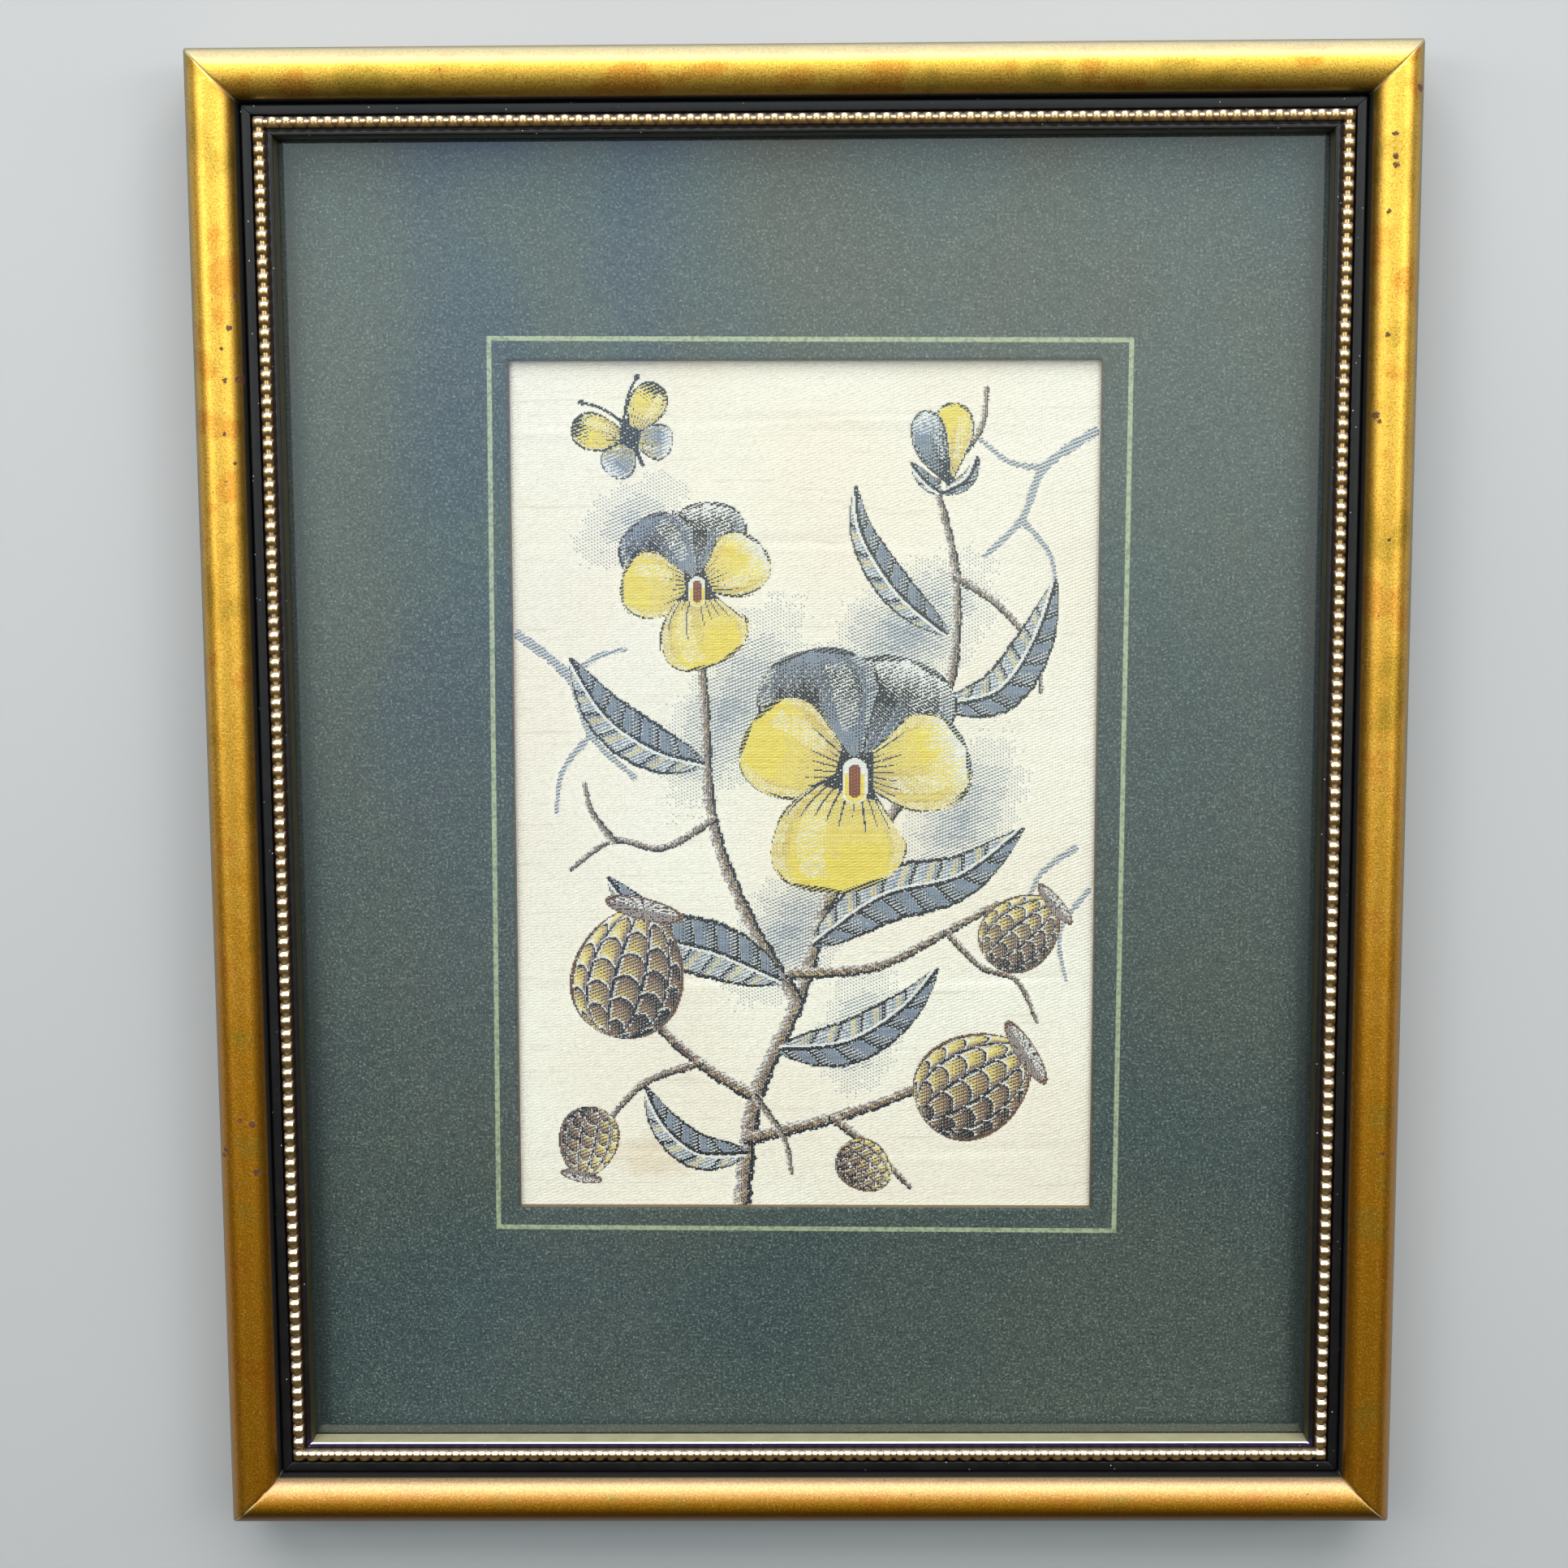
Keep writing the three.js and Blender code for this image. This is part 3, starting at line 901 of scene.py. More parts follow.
def paint_mat_core():
    f = Finish("mat_core")
    x, y, z, p = f.place()
    layers = (z * 40 + f.noise(p, 2.0) * 2).wave() * 0.5 + 0.5
    fray = f.noise(p, 4.0, detail=3, seed=3.0)
    tone = f.blend(layers * 0.4, srgb(122, 100, 74), srgb(92, 72, 52))
    return f.surface(Base_Color=tone, Roughness=0.9, Normal=f.bump(fray, 0.05, 0.6))


def add_mat():
    """Loops from the outer edge over the face and round the pressed edge, closed under the board."""
    place = {"shift": (WINDOW["x"], WINDOW["y"]), "turn": WINDOW["turn"]}
    outer = (mat_high.x - mat_low.x) / MM, (mat_high.y - mat_low.y) / MM
    cut = WINDOW["width"], WINDOW["height"]
    edge = 0.08
    rolls = [math.radians(turn) for turn in (0, 22, 45, 67, 90)]
    loops = [
        rectangle_loop(*outer, MAT_BOTTOM),
        rectangle_loop(*outer, MAT_TOP - edge),
        rectangle_loop(outer[0] - edge, outer[1] - edge, MAT_TOP),
    ]
    for share in (0.25, 0.5, 0.75, 0.93):
        start = rectangle_loop(*outer, MAT_TOP)
        end = rectangle_loop(cut[0] + 2 * WINDOW_ROUND, cut[1] + 2 * WINDOW_ROUND, MAT_TOP, **place)
        loops.append([
            tuple(a + (b - a) * share for a, b in zip(first, second)) for first, second in zip(start, end)
        ])
    for roll in rolls:
        wider = 2 * WINDOW_ROUND * (1 - math.sin(roll))
        level = MAT_TOP - WINDOW_ROUND * (1 - math.cos(roll))
        loops.append(rectangle_loop(cut[0] + wider, cut[1] + wider, level, **place))
    slope_from = len(loops) - 1
    low = 2 * WINDOW_LEAN
    loops.append(rectangle_loop(cut[0] - low, cut[1] - low, MAT_BOTTOM, **place))
    count = 4 * LOOP_STEPS
    points = [point for loop in loops for point in loop]
    faces, cores = [], []
    for r in range(len(loops)):
        s = (r + 1) % len(loops)
        for i in range(count):
            j = (i + 1) % count
            if r == slope_from:
                cores.append(len(faces))
            faces.append((r * count + i, r * count + j, s * count + j, s * count + i))
    mat = add_piece(
        "mat_board", points, faces, [paint_mat_paper(), paint_mat_core()],
        replaces=["window_mat"], slot="mat_board",
    )
    for i in cores:
        mat.data.polygons[i].material_index = 1
    return mat


mat = add_mat()
print(f"mat with a window of {WINDOW['width']} by {WINDOW['height']} mm, {len(mat.data.polygons)} faces")

# %% [markdown]
# ## The silk
#
# The picture is one sheet of cream silk. It is held flat behind the mat, so it only crowns by a fraction of
# a millimetre. A grid follows that crown, on both sides of the cloth, with a few slack ripples along the
# weft. The weave itself comes after it: here only the finest threads are relief, at the pitch of its
# squares.

# %% The silk ground
SQUARE = (0.205, 0.165)
SILK_MARGIN = 10.0
SILK_CROWN = 0.3
SILK_LIFT = 0.2
SILK_TOP_AT_RIM = silk_high.z / MM - SILK_CROWN + SILK_LIFT
SILK_THICKNESS = 1.0
SILK_FLAT = (WINDOW["width"] + 2 * SILK_MARGIN, WINDOW["height"] + 2 * SILK_MARGIN)
SILK_GRID = (60, 84)
RIPPLE_REACH = 0.6
RIPPLES = ((51.0, 0.012), (34.0, 0.008), (-27.0, 0.01), (-52.0, 0.007), (8.0, 0.006))


def silk_height(x, y):
    """Height of the silk's face over the back, at a point in the window's own axes. Takes arrays too."""
    across = np.clip(1 - np.abs(x) / (WINDOW["width"] / 2), 0, 1)
    along = np.clip(1 - np.abs(y) / (WINDOW["height"] / 2), 0, 1)
    crown = SILK_CROWN * np.sin(across * np.pi / 2) * np.sin(along * np.pi / 2)
    open_part = np.minimum(across * 12, 1) * np.minimum(along * 12, 1)
    ripple = 0.0
    for level, depth in RIPPLES:
        bow = level + 0.8 * np.sin(x / 17 + level)
        trough = np.exp(-(((y - bow) / RIPPLE_REACH) ** 2))
        ripple = ripple - depth * trough * (0.6 + 0.4 * np.sin(x / 9 + level))
    return SILK_TOP_AT_RIM + crown * 0.8 + ripple * open_part


def window_to_frame(x, y):
    """From the window's axes to the frame's."""
    cos, sin = math.cos(WINDOW["turn"]), math.sin(WINDOW["turn"])
    return WINDOW["x"] + x * cos - y * sin, WINDOW["y"] + x * sin + y * cos


def paint_silk_ground(name="cream_silk_cloth"):
    f = Finish(name)
    x, y, z, p = f.place()
    cloud = f.noise(p, 0.03, detail=1, seed=4.0)
    slub = f.noise(f.stretch(p, 0.12, 2.2, 0.0), 1.0, detail=2, seed=6.0)
    fleck = f.noise(f.stretch(p, 1.0, 0.7, 0.0), 3.2, detail=1, roughness=0.6, seed=8.0)
    # Painted light: the cream is a little paler towards the bottom, where less light reaches it.
    tone = f.blend(y.ease(-58, 30), srgb(255, 251, 240), srgb(249, 243, 232))
    tone = f.blend(cloud.ease(0.35, 0.65) * 0.5, tone, srgb(248, 236, 220))
    tone = f.blend(fleck.ease(0.5, 0.34) * 0.3, tone, srgb(222, 208, 190))
    tone = f.blend(slub.ease(0.62, 0.74) * 0.35, tone, srgb(214, 200, 178))
    stain = f.distance((x + 21.5) * 0.55, y + 51.0)
    stain = (stain + f.noise(p, 0.35, detail=1) * 3).ease(5.6, 3.0)
    tone = f.blend(stain * 0.3, tone, srgb(216, 186, 136))
    warp = (x * (2 * math.pi / SQUARE[0])).wave()
    weft = (y * (2 * math.pi / SQUARE[1])).wave()
    return f.surface(
        Base_Color=tone,
        Roughness=0.62,
        Normal=f.bump(warp * weft, 0.02, 0.5),
    )


def add_silk_ground():
    columns, rows = SILK_GRID
    points, faces = [], []
    for drop in (0.0, SILK_THICKNESS):
        for j in range(rows + 1):
            for i in range(columns + 1):
                u = (i / columns - 0.5) * SILK_FLAT[0]
                v = (j / rows - 0.5) * SILK_FLAT[1]
                x, y = window_to_frame(u, v)
                points.append((x, y, float(silk_height(u, v)) - drop))
    layer = (columns + 1) * (rows + 1)

    def at(i, j, low=0):
        return low * layer + j * (columns + 1) + i

    for j in range(rows):
        for i in range(columns):
            faces.append((at(i, j), at(i + 1, j), at(i + 1, j + 1), at(i, j + 1)))
            faces.append((at(i, j, 1), at(i, j + 1, 1), at(i + 1, j + 1, 1), at(i + 1, j, 1)))
    for i in range(columns):
        faces.append((at(i, 0, 1), at(i + 1, 0, 1), at(i + 1, 0), at(i, 0)))
        faces.append((at(i + 1, rows, 1), at(i, rows, 1), at(i, rows), at(i + 1, rows)))
    for j in range(rows):
        faces.append((at(0, j + 1, 1), at(0, j, 1), at(0, j), at(0, j + 1)))
        faces.append((at(columns, j, 1), at(columns, j + 1, 1), at(columns, j + 1), at(columns, j)))
    return add_piece(
        "silk_ground", points, faces, [paint_silk_ground()], replaces=["woven_silk"], slot="silk",
    )


silk = add_silk_ground()
print(f"silk cut to {SILK_FLAT[0]:.0f} by {SILK_FLAT[1]:.0f} mm, {len(silk.data.polygons)} faces")


# %% [markdown]
# ## The weaver's chart
#
# A woven picture is drawn on squared paper first: every square is one weft yarn passing over a few warp
# threads. The chart here is a grid of 0.205 by 0.165 mm squares, measured on the photograph. The weave is a
# twill, so each row of floats starts two squares further on than the row below. A shade between two yarns
# comes from how many squares of each float show, which gives the fine slanting hatch of such pictures.
#
# The picture itself is a design of its own, a spray of garden flowers with seed heads and a butterfly.

# %% A chart and its hatch
FLOAT_SQUARES = 6
SHIFT_SQUARES = 2
HATCH = np.array([0.08, 0.25, 0.58, 0.92, 0.75, 0.42])
YARNS = ("cream", "lemon", "straw", "charcoal", "slate", "brown", "rust", "taupe", "white")
GROUND, LEMON, STRAW, CHARCOAL, SLATE, BROWN, RUST, TAUPE, WHITE = range(len(YARNS))
CHART_HALF = (WINDOW["width"] / 2, WINDOW["height"] / 2)
chart_columns = int(2 * CHART_HALF[0] / SQUARE[0])
chart_rows = int(2 * CHART_HALF[1] / SQUARE[1])
column_x = (np.arange(chart_columns) + 0.5 - chart_columns / 2) * SQUARE[0]
row_y = (np.arange(chart_rows) + 0.5 - chart_rows / 2) * SQUARE[1]
chart_x, chart_y = np.meshgrid(column_x, row_y)
phase = (np.arange(chart_columns)[None, :] - SHIFT_SQUARES * np.arange(chart_rows)[:, None]) % FLOAT_SQUARES
hatch = HATCH[phase]
chart = np.zeros((chart_rows, chart_columns), dtype=int)


def lay(where, share, yarn):
    """Weaves a yarn into part of the chart. A share of 1 covers it, and 0.5 shows half of each float."""
    shown = np.broadcast_to(share, hatch[where].shape) > hatch[where]
    chart[where][shown] = yarn


def lay_all(where, inside, layers):
    """Lays yarns over one another inside a shape. Each layer says where, how much and which yarn."""
    for part, share, yarn in layers:
        lay(where, (inside & part) * share, yarn)


def patch(points, margin):
    """The part of the chart round some points, as slices of its rows and columns."""
    low = np.min(points, axis=0) - margin
    high = np.max(points, axis=0) + margin
    columns = np.searchsorted(column_x, (low[0], high[0]))
    rows = np.searchsorted(row_y, (low[1], high[1]))
    return slice(*rows), slice(*columns)


def turned_patch(centre, margin, turn):
    """The chart round a centre, and how far its squares lie along and above a turned line."""
    where = patch(np.array([centre]), margin)
    dx, dy = chart_x[where] - centre[0], chart_y[where] - centre[1]
    cos, sin = math.cos(math.radians(turn)), math.sin(math.radians(turn))
    return where, dx * cos + dy * sin, dy * cos - dx * sin


def bend(points, steps=48):
    """A smooth curve through the points, as a Catmull-Rom spline."""
    p = np.array([points[0], *points, points[-1]], dtype=float)
    curve = []
    for i in range(1, len(p) - 2):
        for t in np.linspace(0, 1, steps // (len(p) - 3) + 1)[:-1]:
            curve.append(
                0.5 * (2 * p[i] + (p[i + 1] - p[i - 1]) * t
                       + (2 * p[i - 1] - 5 * p[i] + 4 * p[i + 1] - p[i + 2]) * t**2
                       + (3 * p[i] - 3 * p[i + 1] + p[i + 2] - p[i - 1]) * t**3)
            )
    curve.append(p[-2])
    return np.array(curve)


def beside(points, margin):
    """For the squares near a curve: where they are, how far along it (0 to 1) and how far to its left."""
    curve = bend(points)
    where = patch(curve, margin)
    x, y = chart_x[where], chart_y[where]
    steps = np.diff(curve, axis=0)
    lengths = np.hypot(steps[:, 0], steps[:, 1])
    reached = np.concatenate([[0], np.cumsum(lengths)])
    nearest = np.full(x.shape, np.inf)
    along = np.zeros(x.shape)
    left = np.zeros(x.shape)
    for i in range(len(steps)):
        dx, dy = x - curve[i, 0], y - curve[i, 1]
        ux, uy = steps[i] / max(lengths[i], 1e-9)
        run = np.clip(dx * ux + dy * uy, 0, lengths[i])
        far = np.hypot(dx - run * ux, dy - run * uy)
        closer = far < nearest
        nearest = np.where(closer, far, nearest)
        along = np.where(closer, (reached[i] + run) / reached[-1], along)
        left = np.where(closer, np.sign(ux * dy - uy * dx) * far, left)
    return where, along, left


def ragged(value, seed):
    """A repeatable unevenness of about -1 to 1 along a value, from three waves."""
    slow = np.sin(value * 1.7 + seed)
    middling = np.sin(value * 4.1 + 2.3 * seed)
    fast = np.sin(value * 9.7 + 4 * seed)
    return (slow + middling + fast) / 3


print(f"chart of {chart_columns} by {chart_rows} squares")

# %% [markdown]
# ## Drawing with yarn
#
# A few drawing helpers each know one kind of thing, as a pattern drafter does: a twig is dark below and pale
# above, a leaf has a rib and slanting veins, a petal is streaked from its root, a seed head has ribs of
# scales that turn away from the light. All are lit from the upper left.

# %% Twigs, leaves, petals and seed heads
LIGHT = np.array([-0.6, 0.8])
TWIG_GIRTH = 1.25


def twig(points, width, warm, seed):
    """A knotty twig: dark on its shaded side, brown inside and pale where the light falls on it."""
    where, along, left = beside(points, width * TWIG_GIRTH)
    length = len(points) * 7.0
    half = width * TWIG_GIRTH / 2 * (1.1 - 0.45 * along) * (1 + 0.28 * ragged(along * length, seed))
    curve = bend(points)
    facing = np.sign((curve[0] - curve[-1])[1] * LIGHT[0] - (curve[0] - curve[-1])[0] * LIGHT[1]) or 1.0
    side = left * facing / np.maximum(half, 0.01)
    inside = np.abs(side) < 1
    grain = ragged(along * length * 2.6 + side * 2, seed + 3)
    lay_all(where, inside, (
        (True, 1.0, TAUPE),
        (side < 0.45, 0.45 + warm, BROWN),
        (side > 0.05, 0.45 + 0.5 * grain, TAUPE),
        (side > 0.4, 0.35 + 0.6 * grain, WHITE),
        ((side < 0.1) & (side > -0.5), (0.2 - 0.6 * grain) * warm, RUST),
        ((side > -0.5) & (side < 0.4) & (grain > 0.45), warm * 1.4, STRAW),
        (side < -0.4, 0.95, CHARCOAL),
        ((np.abs(side) < 0.6) & (grain < -0.55), 0.8, CHARCOAL),
    ))


def leaf(points, width, veins, seed=1.0):
    """A pointed leaf in slate, with a paler lit half, a dark rib, slanting veins and a pale line beside."""
    where, along, left = beside(points, width)
    swell = np.sin(np.pi * np.clip(along, 0, 1) ** 0.8) ** 0.8
    half = width / 2 * swell * (1 + 0.05 * ragged(along * 30, seed))
    side = left / np.maximum(half, 0.01)
    inside = (np.abs(side) < 1) & (half > 0.15)
    lit = side * np.sign(LIGHT[1]) > 0
    row = (along * veins - np.abs(side) * 0.55 + 0.02 * ragged(left * 3, seed)) % 1.0
    shade = 0.35 + 0.45 * row + 0.15 * ragged(along * 9 + side, seed)
    lay_all(where, inside, (
        (True, 1.0, WHITE),
        (True, np.where(lit, shade + 0.05, shade + 0.35), SLATE),
        (~lit, 0.75 - row * 0.9, CHARCOAL),
        (lit & (row > 0.62) & (row < 0.86), 0.5, STRAW),
        ((row < 0.17) & (np.abs(side) < 0.9), 0.9, CHARCOAL),
        (np.abs(side) > 0.86, 0.95, CHARCOAL),
        (np.abs(left - 0.42) < 0.2, 1.0, WHITE),
        (np.abs(left) < 0.24, 1.0, CHARCOAL),
    ))


def petal(points, width, base, shadow, tip, streak, fringe=0.05, seed=1.0):
    """A petal from its root to its rounded tip, streaked with dark whiskers that fan out from the root."""
    where, along, left = beside(points, width)
    side = left / (width / 2)
    round_tip = np.sqrt(np.clip(1 - np.clip((along - 0.62) / 0.38, 0, 1) ** 2.4, 0, 1))
    half = width / 2 * (0.16 + 0.84 * np.sin(np.pi / 2 * np.clip(along / 0.66, 0, 1)) ** 1.15) * round_tip
    fan = left / np.maximum(half, 0.01)
    fray = fringe * ragged(fan * 9 + along * 2, seed) * (0.3 + along)
    inside = (np.abs(fan) < 1 + fray) & (half > 0.1) & (along < 0.995)
    fold = np.sin(fan * 3.3 + seed) * 0.5 + 0.5
    sheen = (np.abs(fan + 0.42) < 0.2) & (along > 0.3) & (along < 0.86)
    rays = np.abs(((fan * 4.6 + seed) % 1.0) - 0.5)
    reach = streak * (0.75 + 0.3 * ragged(np.floor(fan * 4.6 + seed) * 2.3, seed))
    whisker = (rays < 0.24 - 0.2 * along / np.maximum(reach, 0.05)) & (along < reach)
    rim_width = 0.28 / np.maximum(half, 0.3)
    lay_all(where, inside, (
        (True, 1.0, base),
        (True, 0.85 - along * 1.3 + 0.45 * fold * (side < 0), shadow),
        (True, 0.16 + 0.5 * (np.abs(fan) > 0.72) - 0.2 * (side > 0), shadow),
        (True, np.clip((along - 0.66) * 3.2 + 0.25 * ragged(fan * 8, seed), 0, 0.95), tip),
        (sheen, 0.3 + 0.25 * ragged(along * 14 + fan * 5, seed), WHITE),
        (np.abs(fan) > 0.8, 0.25 + 0.3 * ragged(along * 22, seed), WHITE),
        (whisker, 0.95, CHARCOAL),
        (along < streak * 0.32, 1.0, CHARCOAL),
        (np.abs(fan) > 1 + fray - rim_width, 0.9, CHARCOAL),
        (along > 0.985 - 0.1 * np.abs(fan), 0.7, CHARCOAL),
    ))


def seed_head(centre, size, turn, warm, seed, crown):
    """A ribbed seed head. Each rib runs from straw in the light through rust and brown to charcoal."""
    where, across, up = turned_patch(centre, max(size), turn)
    level = np.clip(up / (size[1] / 2), -1, 1)
    half = size[0] / 2 * np.sqrt(1 - level**2) * (1 - 0.14 * level)
    side = across / np.maximum(half, 0.01)
    inside = (np.abs(side) < 1) & (np.abs(up) < size[1] / 2)
    around = np.arcsin(np.clip(side, -1, 1)) / (np.pi / 2)
    rib = around * 3.1 + 0.5
    within = rib % 1.0
    band = (level * 2.9 + 0.5 * (np.floor(rib) % 2) + 0.34 * (2 * within - 1) ** 2 + 0.1 * seed) % 1.0
    lit = 0.66 - 0.46 * around + 0.2 * level - 0.5 * band
    lay_all(where, inside, (
        (True, 1.0, BROWN),
        (True, 0.2 + 0.6 * lit * warm, RUST),
        (within > 0.3, lit * 1.2 - 0.1, TAUPE),
        ((within > 0.22) & (within < 0.84), lit * 2.0 - 0.5 * (2 - warm), STRAW),
        ((within > 0.28) & (within < 0.72), lit * 2.6 - 1.25, LEMON),
        ((within > 0.3) & (within < 0.6), lit * 2.6 - 1.75, WHITE),
        (lit < 0.2, 0.75 - lit * 2, CHARCOAL),
        (within < 0.13, 0.95, CHARCOAL),
        ((within > 0.13) & (within < 0.22), 0.4 + lit * 0.6, WHITE),
        (band > 0.88, 0.9, CHARCOAL),
        (band < 0.09, 0.3 + lit * 0.8, WHITE),
        (np.abs(side) > 0.93, 0.8, BROWN),
    ))
    if crown:
        head = (up - size[1] * 0.5) / (size[1] * 0.085)
        wide = across / (size[0] * 0.36)
        rays = (np.arctan2(head, wide) * 2.4) % 1.0
        lay_all(where, head**2 + wide**2 < 1, (
            (True, 1.0, TAUPE),
            (head > 0, 0.7, WHITE),
            (rays < 0.3, 0.9, CHARCOAL),
            (head**2 + wide**2 > 0.72, 0.8, BROWN),
        ))


def ghost(points, width, share=0.62):
    """A faint twig in the distance, in slate only."""
    where, along, left = beside(points, width)
    half = width / 2 * (1.1 - 0.5 * along) * (1 + 0.3 * ragged(along * 20, points[0][0]))
    lay(where, (np.abs(left) < half) * share, SLATE)


def haze(centre, size, turn, share):
    """A soft shadow of hatching, thinning out to the ground."""
    where, u, v = turned_patch(centre, max(size) * 1.6, turn)
    far = np.hypot(u / size[0], v / size[1])
    torn = 0.16 * ragged(u * 0.42 + v * 0.2, centre[0]) + 0.1 * ragged(v * 0.9 - u * 0.3, centre[1])
    lay(where, np.clip(share * (1.15 - far + torn), 0, 0.8), SLATE)


# %% [markdown]
# ## The spray, drawn back to front
#
# The far haze and ghost twigs come first, then stems and leaves, and the flowers last, because a square of
# the chart keeps only the yarn laid in it last.

# %% Haze, ghost twigs and stems
for centre, size, turn, share in (
    ((14, 22), (15, 8), 40, 0.62), ((-10, 12), (16, 7), 60, 0.6), ((22, -4), (13, 7), 62, 0.55),
    ((-2, -20), (12, 7), 48, 0.6), ((8, -34), (9, 6), 75, 0.5), ((-24, 38), (9, 5), 35, 0.42),
):
    haze(centre, size, turn, share)

for points, width in (
    (((-40, 22), (-33, 16), (-30, 8), (-24, 2)), 1.3), (((-33, 16), (-29, 19), (-25, 20)), 0.9),
    (((-30, 8), (-34, 3), (-35, -3)), 0.9), (((40, 50), (33, 45), (30, 38), (25, 33)), 1.3),
    (((33, 45), (28, 46), (23, 50)), 0.9), (((30, 38), (34, 33), (35, 27)), 0.8),
    (((38, -8), (33, -12), (31, -18)), 0.9), (((40, -14), (36, -20), (37, -27)), 0.8),
):
    ghost(points, width)

for points, width, warm, seed in (
    (((-9, -59), (-7, -44), (-1, -30), (3, -16), (6, -4)), 1.9, 0.45, 2.0),
    (((-1, -30), (-8, -18), (-13, -4), (-14, 12), (-15, 24)), 1.5, 0.4, 5.0),
    (((3, -16), (13, -2), (20, 14), (21, 30), (18, 43)), 1.3, 0.35, 3.0),
    (((-7, -44), (-15, -39), (-22, -32), (-25, -24)), 1.3, 0.8, 4.0),
    (((-8, -50), (4, -47), (15, -43), (23, -38)), 1.4, 0.7, 6.0),
    (((4, -47), (9, -51), (15, -57)), 1.0, 0.6, 7.0),
    (((-2, -26), (10, -25), (20, -20), (27, -16)), 1.2, 0.7, 8.0),
    (((-15, -39), (-23, -42), (-29, -49), (-30, -55)), 0.9, 0.6, 9.0),
    (((20, -20), (25, -25), (30, -27), (33, -33)), 0.8, 0.6, 1.0),
    (((-13, -4), (-20, -8), (-27, -7), (-33, -11)), 0.85, 0.4, 2.0),
    (((-27, -7), (-30, -3), (-31, 1)), 0.85, 0.4, 3.0),
    (((21, 30), (27, 26), (32, 20), (33, 14)), 0.85, 0.4, 4.0),
    (((18, 43), (24, 50), (25, 56)), 0.85, 0.4, 5.0),
    (((-7, -44), (-3, -50), (-2, -55)), 0.85, 0.4, 6.0),
):
    twig(points, width, warm, seed)
print(f"{np.count_nonzero(chart)} of {chart.size} squares hold a coloured yarn so far")

# %% Leaves and seed heads
for points, width, veins, seed in (
    (((-3, -27), (-12, -23), (-21, -20), (-28, -12)), 8.5, 9, 1.0),
    (((1, -22), (11, -15), (22, -12), (31, -5)), 8.0, 9, 2.0),
    (((-14, 4), (-21, 6), (-28, 11), (-33, 19)), 7.0, 8, 3.0),
    (((19, 12), (27, 14), (32, 21), (35, 30)), 6.4, 8, 4.0),
    (((-4, -37), (6, -36), (14, -31), (19, -25)), 6.6, 7, 5.0),
    (((20, 22), (13, 28), (8, 36), (7, 43)), 5.0, 7, 6.0),
    (((-8, -52), (-15, -52), (-20, -48), (-23, -42)), 5.4, 6, 7.0),
):
    leaf(points, width, veins, seed)

for centre, size, turn, warm, seed, crown in (
    ((-25, -26), (16.0, 19.0), -14, 1.0, 1.0, True), ((24, -42), (15.0, 17.5), -58, 1.15, 2.0, True),
    ((30.5, -20), (10.5, 12.5), -50, 0.8, 3.0, True), ((-31, -50.5), (8.6, 10.4), 168, 0.8, 4.0, True),
    ((8.5, -54), (7.4, 8.6), -130, 0.8, 5.0, False),
):
    seed_head(centre, size, turn, warm, seed, crown)
print(f"{np.count_nonzero(chart)} squares after the leaves")

# %% Flowers, bud and butterfly


def flower(centre, size, turn, seed=0.0):
    """A viola: two dark upper petals, two yellow side petals and a broad yellow lower one with whiskers."""
    kinds = (
        (72, 1.0, 0.95, CHARCOAL, SLATE, WHITE, 0.3), (118, 1.04, 0.98, CHARCOAL, SLATE, SLATE, 0.3),
        (20, 0.92, 0.8, LEMON, STRAW, WHITE, 0.5), (163, 0.92, 0.84, LEMON, STRAW, LEMON, 0.5),
        (-88, 1.0, 1.12, LEMON, STRAW, LEMON, 0.58),
    )
    for i, (angle, length, width, base, shadow, tip, streak) in enumerate(kinds):
        t = math.radians(angle + turn)
        side = math.radians(angle + turn + (8 if i % 2 else -8))
        ahead = np.array([math.cos(t), math.sin(t)])
        middle = np.array([math.cos(side), math.sin(side)])
        root = np.array(centre)
        points = [root, root + middle * size * length * 0.5, root + ahead * size * length]
        petal(points, size * width, base, shadow, tip, streak=streak, fringe=0.07, seed=seed + i * 1.3)
    eye = [centre, np.array(centre) + np.array([0.0, -0.17 * size])]
    where, along, left = beside(eye, size)
    far = np.abs(left)
    lay(where, (far < 0.1 * size) * 1.0, WHITE)
    lay(where, (far < 0.085 * size) & (along > 0.2), LEMON)
    lay(where, (far < 0.05 * size) * 1.0, RUST)


petal(((20, 43), (20, 48), (21, 54)), 6.0, LEMON, STRAW, LEMON, streak=0.25, seed=2.0)
petal(((20, 43), (17.5, 48), (16.5, 53)), 5.0, SLATE, CHARCOAL, WHITE, streak=0.5, seed=3.0)
leaf(((19, 41.5), (22.5, 43.5), (24, 47)), 2.2, veins=3)
leaf(((19, 41.5), (16.5, 43.5), (14.5, 46)), 2.2, veins=3)
flower((-15, 29), 11.5, 12, seed=2.0)
flower((7, 3), 17.5, -8, seed=0.4)


